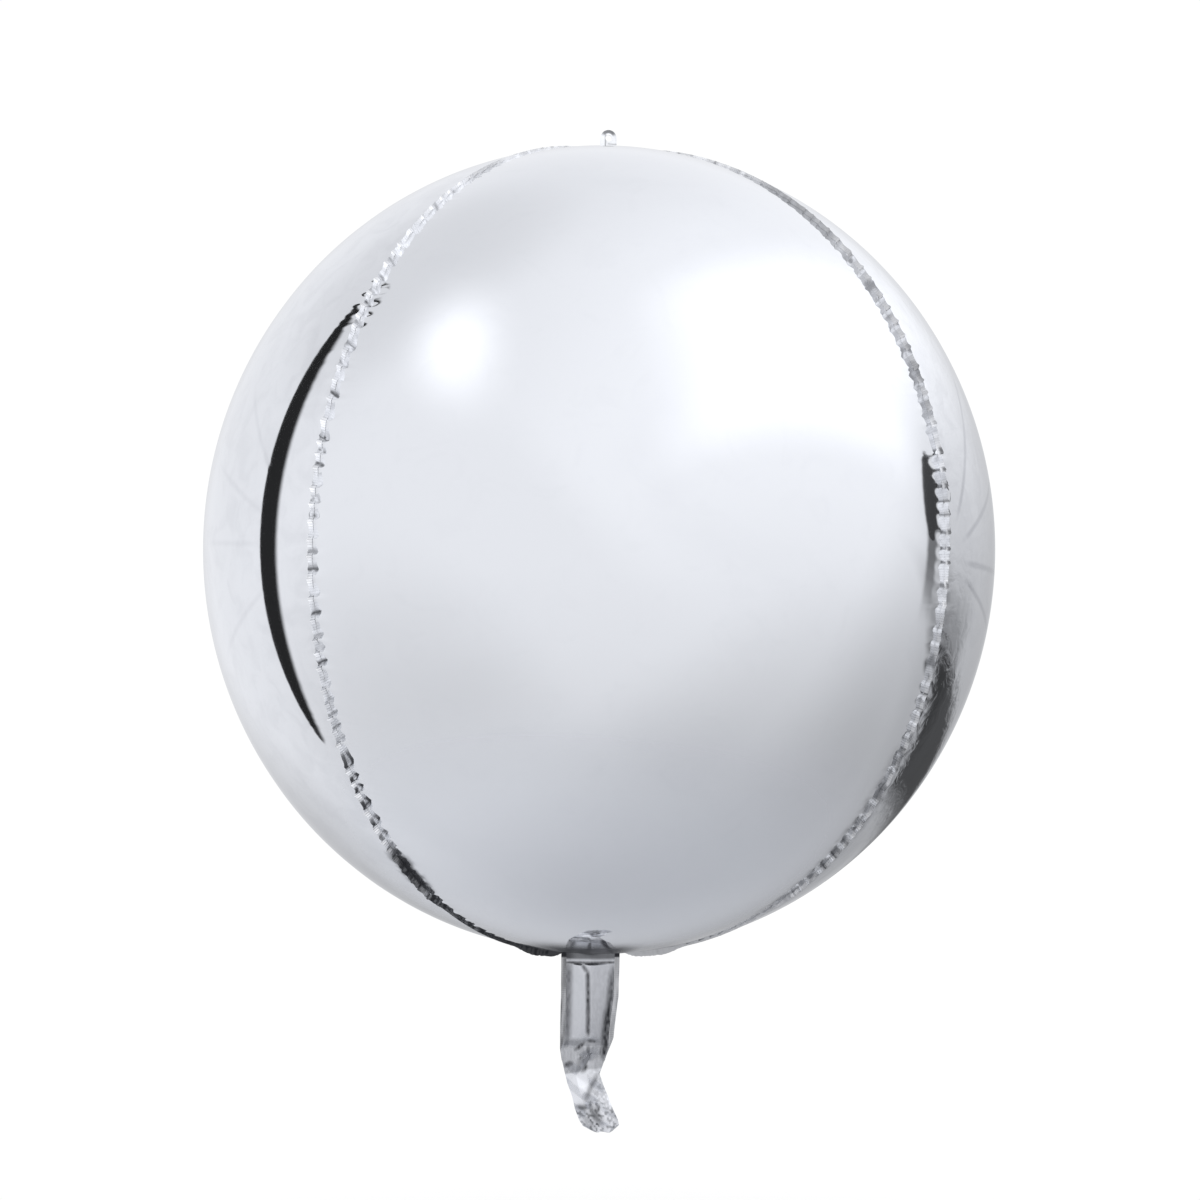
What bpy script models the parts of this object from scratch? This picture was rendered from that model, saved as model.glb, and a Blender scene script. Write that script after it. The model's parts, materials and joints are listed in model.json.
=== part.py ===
"""Sphere foil balloon: four metallised film gores welded edge to edge into a ball.

Metres, +Z up. The origin is the ball's centre, where the air lifts it. The front gore faces -Y.
The hang tab stands on the crown, and the flat inflation neck hangs from the foot.
"""

import math

import bmesh
import bpy
from mathutils import Vector

# Driving dimensions of the ball
BALL_RADIUS = 0.200  # at the equator
POLE_HEIGHT = 0.2043  # the welded film stands a little taller than it is wide
WALL = 0.0015  # the film is far thinner, and this wall still carries its shape and weight
GORE_COLUMNS = 10
ROW_STEP = 0.022
ROW_GROWTH = 1.5  # rows grow by this factor away from a pole until they reach the row step

# Welded seams
WELD_THICKNESS = 0.0008
WELD_PROUD = 0.0030
WELD_ROOT = 0.0012  # how deep the weld reaches between two gores
WELD_LEAST = 0.0006  # how far it stands out beside the tab and the neck
CROWN_FADE = (0.060, 0.140)  # distances from the axis between which a weld grows to its full height
FOOT_FADE = (0.018, 0.045)
CRIMP_PITCH = 0.010
CRIMP_SWING = 0.0009
CLEARANCE = 0.0003

# Hang tab on the crown
TAB_HALF_WIDTH = 0.0042
TAB_HEIGHT = 0.0107
TAB_THICKNESS = 0.0010
TAB_HOLE_RADIUS = 0.0017
TAB_ROUND_STEPS = 14

# Inflation neck and its crumpled end
NECK_HALF_WIDTH = 0.0155
NECK_MARGIN = 0.0026
NECK_FILM = 0.0006
NECK_MARGIN_THICKNESS = 0.0010
NECK_PUFF = 0.0036
NECK_LENGTH = 0.0550  # from its root fold to the crease above the crumpled end
TAIL_OUTLINE = (  # drop below the root fold, left edge, right edge
    (0.0000, -0.0150, 0.0155),
    (0.0250, -0.0146, 0.0153),
    (0.0336, -0.0147, 0.0143),
    (0.0460, -0.0146, 0.0132),
    (0.0521, -0.0144, 0.0110),
    (0.0583, -0.0134, 0.0085),
    (0.0645, -0.0119, 0.0064),
    (0.0707, -0.0102, 0.0086),
    (0.0769, -0.0078, 0.0113),
    (0.0831, -0.0063, 0.0138),
    (0.0893, -0.0039, 0.0168),
    (0.0923, -0.0018, 0.0176),
    (0.0954, 0.0040, 0.0142),
)
TAIL_LENGTH = TAIL_OUTLINE[-1][0]
TAIL_LEAN = 0.0030  # how far the crumpled film stands out of its plane
LEAN_RISE = 2.5  # the lean is whole after 1 / 2.5 of the crumpled end
LEAN_TURNS = (0.35, 1.2)  # waves of the lean across the film and down it
NECK_PUFF_POWER = 0.8  # below 1, the swelling stays full for longer and falls off faster at its ends
NECK_ROW_DROPS = (0.0005, 0.004, 0.009, 0.016, 0.025, 0.0336, 0.041, 0.046, 0.0505)
NECK_COLUMNS = 8
TAIL_END_ROWS = 10
FOLDED_SKIN = 0.4  # share of the film's thickness where it wraps round a fold
FOLD_RADIUS = 0.0010  # nothing on either side of a fold reaches further than this from its axis

# Where the welds between front and back gores end, and how far the folds lie beyond them
ROOT_WELD_PROUD = 0.0002
ROOT_WELD_HEIGHT = 0.0024
FOLD_GAP = 0.00035
CROWN_FOLD_Z = POLE_HEIGHT + ROOT_WELD_PROUD + TAB_THICKNESS / 2 + CLEARANCE
NECK_FOLD_Z = -(POLE_HEIGHT + ROOT_WELD_PROUD + FOLD_RADIUS + FOLD_GAP)

# Half the slot that a crimped weld needs between two gores
SLOT_HALF = (
    WELD_THICKNESS / 2
    + CRIMP_SWING * WELD_ROOT / (WELD_ROOT + WELD_PROUD)
    + CLEARANCE
)
TIP_ROOM = SLOT_HALF * 1.3  # a side gore starts this far from the edge of the tab or the neck
POLE_ROWS = (0.0022, 0.0080)  # the wide gores' last rows, as distances from a pole
AT_TIP = 1.02  # a weld ends at this many tab or neck half widths from the pole
QUARTER = math.pi / 2
GORE_HALF_ANGLE = math.pi / 4


def clear_scene():
    """Removes whatever the scene holds."""
    for item in list(bpy.data.objects):
        bpy.data.objects.remove(item, do_unlink=True)


def film(name, colour, roughness):
    """A metallised film finish."""
    material = bpy.data.materials.new(name)
    material.use_nodes = True
    shader = material.node_tree.nodes["Principled BSDF"]
    shader.inputs["Base Color"].default_value = (*colour, 1.0)
    shader.inputs["Roughness"].default_value = roughness
    shader.inputs["Metallic"].default_value = 1.0
    material.diffuse_color = (*colour, 1.0)
    return material


def gore_film():
    """Bright mirror face of the ball."""
    return film("gore_film", (0.80, 0.81, 0.84), 0.08)


def weld_film():
    """The same film where it is pressed together and crimped."""
    return film("weld_film", (0.72, 0.73, 0.77), 0.22)


def neck_film():
    """Slack film of the neck, finely creased."""
    return film("neck_film", (0.68, 0.69, 0.73), 0.18)


def tab_film():
    """Stiff double film of the hang tab."""
    return film("tab_film", (0.74, 0.75, 0.79), 0.20)


def place(name, mesh, material, parent=None):
    """An object with a finished mesh, which is given from the parent empty or from the ball's centre."""
    for polygon in mesh.polygons:
        polygon.use_smooth = True
    mesh.set_sharp_from_angle(angle=math.radians(40))
    mesh.materials.append(material)
    item = bpy.data.objects.new(name, mesh)
    bpy.context.collection.objects.link(item)
    item.parent = parent
    return item


def fold_axis(name, height, parent=None):
    """An empty on a fold's axis, which runs along X at a height below or above the parent."""
    empty = bpy.data.objects.new(name, None)
    bpy.context.collection.objects.link(empty)
    empty.empty_display_size = 0.01
    empty.parent = parent
    empty.location = (0.0, 0.0, height)
    return empty


def thicken(item, thickness, offset):
    """Gives a sheet its wall: offset -1 puts it all behind the faces, and 0 half on each side."""
    wall = item.modifiers.new("wall", "SOLIDIFY")
    wall.thickness = thickness
    wall.offset = offset
    wall.use_rim = True
    return wall


def sheet(name, rows):
    """A mesh of four-sided faces through rows of points."""
    shape = bmesh.new()
    grid = [[shape.verts.new(point) for point in row] for row in rows]
    for lower, upper in zip(grid, grid[1:]):
        for a, b, c, d in zip(lower, lower[1:], upper[1:], upper):
            shape.faces.new((a, b, c, d))
    mesh = bpy.data.meshes.new(name)
    shape.to_mesh(mesh)
    shape.free()
    return mesh


def closed_sheet(name, front, back):
    """A closed mesh between a front and a back grid of the same size."""
    shape = bmesh.new()
    near = [[shape.verts.new(point) for point in row] for row in front]
    far = [[shape.verts.new(point) for point in row] for row in back]
    for lower, upper in zip(near, near[1:]):
        for a, b, c, d in zip(lower, lower[1:], upper[1:], upper):
            shape.faces.new((a, b, c, d))
    for lower, upper in zip(far, far[1:]):
        for a, b, c, d in zip(lower, lower[1:], upper[1:], upper):
            shape.faces.new((d, c, b, a))
    near_rim = rim(near)
    far_rim = rim(far)
    count = len(near_rim)
    for i in range(count):
        j = (i + 1) % count
        shape.faces.new((near_rim[j], near_rim[i], far_rim[i], far_rim[j]))
    bmesh.ops.recalc_face_normals(shape, faces=shape.faces)
    mesh = bpy.data.meshes.new(name)
    shape.to_mesh(mesh)
    shape.free()
    return mesh


def rim(grid):
    """The outer points of a grid, once round."""
    right = [row[-1] for row in grid[1:]]
    top = grid[-1][-2::-1]
    left = [row[0] for row in grid[-2:0:-1]]
    return grid[0] + right + top + left


def ball_point(polar, azimuth, lift=0.0):
    """A point of the ball, polar counted from the crown and azimuth from the front towards +X.

    Lift moves it out along the surface's normal.
    """
    across = BALL_RADIUS * math.sin(polar)
    up = POLE_HEIGHT * math.cos(polar)
    out = math.sin(polar) / BALL_RADIUS
    rise = math.cos(polar) / POLE_HEIGHT
    length = math.hypot(out, rise)
    across += lift * out / length
    up += lift * rise / length
    return Vector((across * math.sin(azimuth), -across * math.cos(azimuth), up))


def spread_rows(first):
    """Distances from a pole, growing from the first until a whole row step fits between them."""
    rows = [first]
    while rows[-1] * (ROW_GROWTH - 1) < ROW_STEP:
        rows.append(rows[-1] * ROW_GROWTH)
    return rows


def polar_rows():
    """Polar angles shared by all gores and welds, from the tab's edge to the neck's edge."""
    crown = spread_rows(TAB_HALF_WIDTH + TIP_ROOM)
    foot = spread_rows(NECK_HALF_WIDTH + TIP_ROOM)
    top = [distance / BALL_RADIUS for distance in crown]
    bottom = [math.pi - distance / BALL_RADIUS for distance in reversed(foot)]
    room = bottom[0] - top[-1]
    steps = round(room * BALL_RADIUS / ROW_STEP)
    middle = [top[-1] + room * i / steps for i in range(1, steps)]
    return top + middle + bottom


def seam_azimuth(polar, setback=0.0):
    """Half the angle of the front gore at a polar angle, with its edge set back from the seam.

    The seams run at 45 degrees, and near a pole they run straight on at the half width of the tab
    or of the neck. A negative setback gives the side gore's edge.
    """
    tip = TAB_HALF_WIDTH if polar < QUARTER else NECK_HALF_WIDTH
    across = BALL_RADIUS * math.sin(polar)
    plain = GORE_HALF_ANGLE - math.asin(setback / across)
    beside_tip = math.asin(min(1.0, (tip - setback) / across))
    return min(QUARTER - math.asin(max(0.0, setback) / across), max(plain, beside_tip))


def gore(name, facing, rows, half_angle, material):
    """One film panel, centred on an azimuth, with its edges set back for the welds."""
    points = []
    for polar in rows:
        edge = half_angle(polar)
        fractions = [2 * i / GORE_COLUMNS - 1 for i in range(GORE_COLUMNS + 1)]
        points.append([ball_point(polar, facing + edge * f) for f in fractions])
    panel = place(name, sheet(name, points[::-1]), material)
    thicken(panel, WALL, -1.0)
    return panel


def wide_edge(polar):
    """Half the angle of the front or the back gore."""
    return seam_azimuth(polar, SLOT_HALF)


def side_edge(polar):
    """Half the angle of a side gore."""
    return QUARTER - seam_azimuth(polar, -SLOT_HALF)


def wide_gore(name, facing, material):
    """The front or the back panel, which goes on to the poles between tab and neck edges."""
    rows = polar_rows()
    crown = [POLE_ROWS[0] / BALL_RADIUS]
    foot = [math.pi - distance / BALL_RADIUS for distance in reversed(POLE_ROWS)]
    return gore(name, facing, crown + rows + foot, wide_edge, material)


def side_gore(name, facing, material):
    """The left or the right panel, which tapers to a point at the tab's and at the neck's edge."""
    return gore(name, facing, polar_rows(), side_edge, material)


def seam_path(side, end):
    """Points of a seam on the ball with their normals, from crown to foot.

    Side is +1 right or -1 left, and end +1 is the front pair of seams and -1 the back pair.
    """
    path = []
    crown = math.asin(TAB_HALF_WIDTH * AT_TIP / BALL_RADIUS)
    foot_end = math.pi - math.asin(NECK_HALF_WIDTH * AT_TIP / BALL_RADIUS)
    for polar in [crown, *polar_rows(), foot_end]:
        swing = seam_azimuth(polar)
        azimuth = side * (swing if end > 0 else math.pi - swing)
        foot = ball_point(polar, azimuth)
        path.append((foot, (ball_point(polar, azimuth, 1.0) - foot).normalized()))
    return path


def even_stations(path, pitch):
    """Points at even steps of about a pitch along a path, each with its normal and direction."""
    stations = []
    for (here, normal), (there, next_normal) in zip(path, path[1:]):
        count = max(1, round((there - here).length / pitch))
        along = (there - here).normalized()
        for i in range(count):
            share = i / count
            point = here.lerp(there, share)
            stations.append((point, normal.lerp(next_normal, share).normalized(), along))
    stations.append((path[-1][0], path[-1][1], stations[-1][2]))
    return stations


def weld_height(point):
    """How far a weld stands out.

    It lies almost flat at the poles, so that tab and neck can fold over it, and rises smoothly to its
    full height between the two distances of its fade.
    """
    reach = math.hypot(point.x, point.y)
    start, full = CROWN_FADE if point.z > 0 else FOOT_FADE
    share = min(1.0, max(0.0, (reach - start) / (full - start)))
    return WELD_LEAST + (WELD_PROUD - WELD_LEAST) * share * share * (3 - 2 * share)


def seam(name, side, end, material):
    """A crimped weld: a narrow strip that stands out between two gores and zigzags at its tip."""
    stations = even_stations(seam_path(side, end), CRIMP_PITCH / 2)
    depth = WELD_ROOT + WELD_PROUD
    roots = []
    tips = []
    for i, (point, normal, along) in enumerate(stations):
        across = along.cross(normal).normalized()
        height = weld_height(point)
        swing = CRIMP_SWING * (WELD_ROOT + height) / depth * (1 if i % 2 else -1)
        roots.append(point - normal * WELD_ROOT)
        tips.append(point + normal * height + across * swing)
    strip = place(name, sheet(name, [roots, tips]), material)
    thicken(strip, WELD_THICKNESS, 0.0)
    return strip


def bar(name, half_width, thickness, low, high, material):
    """A straight weld across a pole, between the front and the back gore."""
    inset = half_width - CLEARANCE
    front = [[Vector((x, -thickness / 2, z)) for x in (-inset, inset)] for z in (low, high)]
    back = [[Vector((x, thickness / 2, z)) for x in (-inset, inset)] for z in (low, high)]
    return place(name, closed_sheet(name, front, back), material)


def crown_weld(material):
    """The short weld that carries the hang tab."""
    high = POLE_HEIGHT + ROOT_WELD_PROUD
    return bar("crown_weld", TAB_HALF_WIDTH, WELD_THICKNESS, high - ROOT_WELD_HEIGHT, high, material)


def foot_weld(material):
    """The weld across the foot that carries the neck."""
    low = -(POLE_HEIGHT + ROOT_WELD_PROUD)
    return bar("foot_weld", NECK_HALF_WIDTH, WELD_THICKNESS, low, low + ROOT_WELD_HEIGHT, material)


def hang_tab(axis, material):
    """A round-topped tab of stiff double film with an eyelet hole, folding at its foot."""
    centre = TAB_HEIGHT - TAB_HALF_WIDTH
    outline = [Vector((-TAB_HALF_WIDTH, 0.0, 0.0)), Vector((TAB_HALF_WIDTH, 0.0, 0.0))]
    for i in range(TAB_ROUND_STEPS + 1):
        angle = math.pi * i / TAB_ROUND_STEPS
        outline.append(
            Vector((TAB_HALF_WIDTH * math.cos(angle), 0.0, centre + TAB_HALF_WIDTH * math.sin(angle)))
        )
    shape = bmesh.new()
    edge = [shape.verts.new(point) for point in outline]
    around = 2 * TAB_ROUND_STEPS
    hole = []
    for i in range(around):
        angle = 2 * math.pi * i / around
        offset = Vector((math.cos(angle), 0.0, math.sin(angle))) * TAB_HOLE_RADIUS
        hole.append(shape.verts.new(Vector((0.0, 0.0, centre)) + offset))
    rims = []
    for ring in (edge, hole):
        rims += [shape.edges.new((a, b)) for a, b in zip(ring, ring[1:] + ring[:1])]
    bmesh.ops.triangle_fill(shape, edges=rims, use_beauty=True, normal=(0.0, -1.0, 0.0))
    mesh = bpy.data.meshes.new("hang_tab")
    shape.to_mesh(mesh)
    shape.free()
    tab = place("hang_tab", mesh, material, axis)
    thicken(tab, TAB_THICKNESS, 0.0)
    return tab


def tail_edges(drop):
    """Left and right edge of the neck and of its crumpled end, at a drop below the root fold."""
    drop = max(0.0, drop)
    for above, below in zip(TAIL_OUTLINE, TAIL_OUTLINE[1:]):
        if drop <= below[0]:
            share = (drop - above[0]) / (below[0] - above[0])
            left = above[1] + (below[1] - above[1]) * share
            right = above[2] + (below[2] - above[2]) * share
            return left, right
    return TAIL_OUTLINE[-1][1:]


def neck_puff(drop):
    """How far the gas swells each film of the neck, at a drop below the root fold."""
    share = min(1.0, max(0.0, drop / NECK_LENGTH))
    return NECK_PUFF * math.sin(math.pi * share) ** NECK_PUFF_POWER


def neck_rows():
    """Drops below the root fold at which the neck's film has a row of points."""
    end = NECK_LENGTH - FOLD_RADIUS - FOLD_GAP
    return [-FOLD_RADIUS, *NECK_ROW_DROPS, end]


def neck_film_sheet(name, axis, side, material):
    """One film of the neck, swollen between its welded margins. Side -1 is the front."""
    inner = []
    outer = []
    for drop in neck_rows():
        left, right = tail_edges(drop)
        left += NECK_MARGIN + CLEARANCE
        right -= NECK_MARGIN + CLEARANCE
        skin = NECK_FILM * (FOLDED_SKIN if drop < 0 else 1.0)
        near = []
        far = []
        for i in range(NECK_COLUMNS + 1):
            share = i / NECK_COLUMNS
            x = left + (right - left) * share
            y = CLEARANCE / 2 + neck_puff(drop) * 4 * share * (1 - share)
            near.append(Vector((x, side * y, -drop)))
            far.append(Vector((x, side * (y + skin), -drop)))
        inner.append(near)
        outer.append(far)
    return place(name, closed_sheet(name, outer, inner), material, axis)


def neck_margin(name, axis, side, material):
    """A welded margin of the neck, flat and narrow. Side 0 is the left, and 1 the right."""
    half = NECK_MARGIN_THICKNESS / 2
    front = []
    back = []
    for drop in neck_rows():
        outside = tail_edges(drop)[side]
        inside = outside - NECK_MARGIN if side else outside + NECK_MARGIN
        edges = sorted((inside, outside))
        front.append([Vector((x, -half, -drop)) for x in edges])
        back.append([Vector((x, half, -drop)) for x in edges])
    return place(name, closed_sheet(name, front, back), material, axis)


def tail_lean(share, drop):
    """How far the crumpled film leans out of its plane: a slanting wave that starts at the crease."""
    down = max(0.0, drop - NECK_LENGTH) / (TAIL_LENGTH - NECK_LENGTH)
    across, along = LEAN_TURNS
    return TAIL_LEAN * min(1.0, LEAN_RISE * down) * math.sin(2 * math.pi * (across * share + along * down))


def tail_end_film(name, axis, side, material):
    """One film of the crumpled end, pressed on the other. Side -1 is the front."""
    step = (TAIL_LENGTH - NECK_LENGTH) / TAIL_END_ROWS
    drops = [NECK_LENGTH - FOLD_RADIUS]
    drops += [NECK_LENGTH + step * i for i in range(TAIL_END_ROWS + 1)]
    inner = []
    outer = []
    for drop in drops:
        left, right = tail_edges(drop)
        skin = NECK_FILM * (FOLDED_SKIN if drop < NECK_LENGTH else 1.0)
        near = []
        far = []
        for i in range(NECK_COLUMNS + 1):
            share = i / NECK_COLUMNS
            x = left + (right - left) * share
            y = tail_lean(share, drop)
            z = NECK_LENGTH - drop
            near.append(Vector((x, y + side * CLEARANCE / 2, z)))
            far.append(Vector((x, y + side * (CLEARANCE / 2 + skin), z)))
        inner.append(near)
        outer.append(far)
    return place(name, closed_sheet(name, outer, inner), material, axis)


def build_ball():
    """The four gores with the welds between them."""
    skin = gore_film()
    weld = weld_film()
    wide_gore("gore_front", 0.0, skin)
    side_gore("gore_right", QUARTER, skin)
    wide_gore("gore_back", 2 * QUARTER, skin)
    side_gore("gore_left", -QUARTER, skin)
    seam("seam_front_right", 1, 1, weld)
    seam("seam_front_left", -1, 1, weld)
    seam("seam_back_right", 1, -1, weld)
    seam("seam_back_left", -1, -1, weld)
    crown_weld(weld)
    foot_weld(weld)


def build_hang_tab():
    """The tab on its fold at the crown."""
    hang_tab(fold_axis("hang_tab_fold", CROWN_FOLD_Z), tab_film())


def build_tail():
    """The neck on its root fold, and the crumpled end on the crease below it."""
    skin = neck_film()
    root = fold_axis("neck_fold", NECK_FOLD_Z)
    neck_film_sheet("neck_front_film", root, -1, skin)
    neck_film_sheet("neck_back_film", root, 1, skin)
    neck_margin("neck_left_margin", root, 0, skin)
    neck_margin("neck_right_margin", root, 1, skin)
    crease = fold_axis("tail_end_fold", -NECK_LENGTH, root)
    tail_end_film("tail_end_front_film", crease, -1, skin)
    tail_end_film("tail_end_back_film", crease, 1, skin)


def build():
    """The whole balloon."""
    clear_scene()
    build_ball()
    build_hang_tab()
    build_tail()


build()
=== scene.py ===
"""Looks of the sphere foil balloon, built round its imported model.

Metres, +Z up. The origin is the ball's centre, and the front gore faces -Y, as in the frame.
Each film is a thin closed sheet on a grid of two parameters, finished as a mirror.
"""

from __future__ import annotations

import json
import logging
import math
from dataclasses import dataclass, replace
from enum import Enum
from typing import Callable, Optional, Union

import bpy
import numpy as np
from mathutils import Matrix, Vector


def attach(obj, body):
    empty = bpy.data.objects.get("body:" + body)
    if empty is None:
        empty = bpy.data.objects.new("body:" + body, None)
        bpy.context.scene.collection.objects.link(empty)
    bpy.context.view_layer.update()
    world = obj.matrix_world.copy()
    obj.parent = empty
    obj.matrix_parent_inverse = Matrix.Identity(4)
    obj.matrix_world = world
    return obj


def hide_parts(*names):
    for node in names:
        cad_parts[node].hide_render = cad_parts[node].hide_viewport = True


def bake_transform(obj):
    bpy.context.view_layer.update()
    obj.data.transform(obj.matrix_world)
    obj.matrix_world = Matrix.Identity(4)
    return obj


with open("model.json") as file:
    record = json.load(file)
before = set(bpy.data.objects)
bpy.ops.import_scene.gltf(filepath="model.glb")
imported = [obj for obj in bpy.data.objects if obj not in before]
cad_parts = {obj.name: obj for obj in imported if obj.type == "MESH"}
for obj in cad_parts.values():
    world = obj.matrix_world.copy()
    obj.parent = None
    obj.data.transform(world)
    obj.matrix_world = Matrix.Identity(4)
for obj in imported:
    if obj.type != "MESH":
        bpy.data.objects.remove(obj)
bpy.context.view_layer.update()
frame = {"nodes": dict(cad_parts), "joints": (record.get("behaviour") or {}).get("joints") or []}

Array = np.ndarray
Piece = bpy.types.Object
Material = bpy.types.Material
Node = bpy.types.Node
Socket = bpy.types.NodeSocket
Value = Union["Sock", float]
Colour = Union[tuple, Socket]
LOG = logging.getLogger("balloon")
QUARTER = math.pi / 2


class Side(Enum):
    """Left or right of the balloon, seen from the front."""

    LEFT = -1
    RIGHT = 1


class Face(Enum):
    """Front or back of the balloon. The value is the sign of Y."""

    FRONT = -1
    BACK = 1


def joined(operation: str, reflected: bool = False) -> Callable[[Sock, Value], Sock]:
    """Makes an operator of Sock, which joins it to another value by a Math node.

    Args:
        operation: what the node does.
        reflected: puts the other value first.
    Returns:
        The operator's method.
    """

    def join(self: Sock, other: Value) -> Sock:
        """The result of the Math node."""
        return self.graph.math(operation, *((other, self) if reflected else (self, other)))

    return join


class Sock:
    """A number that comes out of a shader node. Its operators add Math nodes."""

    def __init__(self, graph: Graph, socket: Socket) -> None:
        """Keeps the socket and the graph that it is in."""
        self.graph = graph
        self.socket = socket

    __add__ = __radd__ = joined("ADD")
    __sub__ = joined("SUBTRACT")
    __rsub__ = joined("SUBTRACT", reflected=True)
    __mul__ = __rmul__ = joined("MULTIPLY")
    __truediv__ = joined("DIVIDE")
    __rtruediv__ = joined("DIVIDE", reflected=True)
    __pow__ = joined("POWER")

    def __abs__(self) -> Sock:
        """This without its sign."""
        return self.graph.math("ABSOLUTE", self)

    def over(self, low: float, high: float) -> Sock:
        """A smooth step.

        Args:
            low: where the step starts to rise from 0.
            high: where it reaches 1. With high below low it falls instead.
        Returns:
            The share of the way from low to high, eased at both ends.
        """
        settings = {"interpolation_type": "SMOOTHSTEP"}
        rising = high > low
        values = {
            "Value": self,
            "From Min": low if rising else high,
            "From Max": high if rising else low,
            "To Min": 0.0 if rising else 1.0,
            "To Max": 1.0 if rising else 0.0,
        }
        return Sock(self.graph, self.graph.add("ShaderNodeMapRange", settings, values).outputs["Result"])


class Graph:
    """One node tree, to which every node is added by the same method."""

    def __init__(self, tree: bpy.types.NodeTree) -> None:
        """Clears the tree."""
        self.tree = tree
        tree.nodes.clear()

    def add(self, kind: str, settings: Optional[dict] = None, values: Optional[dict] = None) -> Node:
        """Adds a node.

        Args:
            kind: Blender's type of the node.
            settings: its properties, which are set first. "stops" gives a ramp its positions and greys.
            values: a value or a link for each socket, by its name or number.
        Returns:
            The node.
        """
        node = self.tree.nodes.new(kind)
        for name, setting in (settings or {}).items():
            if name == "stops":
                self._fill_ramp(node.color_ramp, setting)
            else:
                setattr(node, name, setting)
        for name, value in (values or {}).items():
            socket = node.inputs[name]
            if isinstance(value, Sock):
                value = value.socket
            if isinstance(value, Socket):
                self.tree.links.new(value, socket)
            else:
                socket.default_value = value
        return node

    @staticmethod
    def _fill_ramp(ramp: bpy.types.ColorRamp, stops: tuple) -> None:
        """Gives a ramp its stops, each a position and a grey.

        Args:
            ramp: the ramp of a node, which has two stops.
            stops: position and grey of each stop, in order.
        """
        for i, (position, grey) in enumerate(stops):
            element = ramp.elements[i] if i < 2 else ramp.elements.new(position)
            element.position = position
            element.color = (grey, grey, grey, 1.0)

    def math(self, operation: str, *values: Value) -> Sock:
        """Adds a Math node on the values and returns its result."""
        node = self.add("ShaderNodeMath", {"operation": operation}, dict(enumerate(values)))
        return Sock(self, node.outputs[0])

    def dot(self, vector: Socket, direction: tuple) -> Sock:
        """How far a vector reaches along a direction."""
        node = self.add("ShaderNodeVectorMath", {"operation": "DOT_PRODUCT"}, {0: vector, 1: direction})
        return Sock(self, node.outputs["Value"])

    def parts(self, vector: Socket) -> list[Sock]:
        """X, Y and Z of a vector."""
        node = self.add("ShaderNodeSeparateXYZ", values={0: vector})
        return [Sock(self, output) for output in node.outputs]

    def noise(self, vector: Socket, scale: float, detail: float, twist: float = 0.0) -> Sock:
        """Soft noise from 0 to 1.

        Args:
            vector: where it is read.
            scale: how many of its lumps go into a metre.
            detail: how many finer layers it has.
            twist: how far the lumps are twisted.
        Returns:
            The noise.
        """
        values = {"Vector": vector, "Scale": scale, "Detail": detail, "Distortion": twist}
        return Sock(self, self.add("ShaderNodeTexNoise", values=values).outputs[0])

    def tint(self, share: Value, low: Colour, high: Colour) -> Socket:
        """A colour between two.

        Args:
            share: how far from the low colour to the high one.
            low: the colour at 0.
            high: the colour at 1.
        Returns:
            The mixed colour.
        """
        ends = [(*colour, 1.0) if isinstance(colour, tuple) else colour for colour in (low, high)]
        node = self.add("ShaderNodeMix", {"data_type": "RGBA"}, {0: share, 6: ends[0], 7: ends[1]})
        return node.outputs[2]


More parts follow.
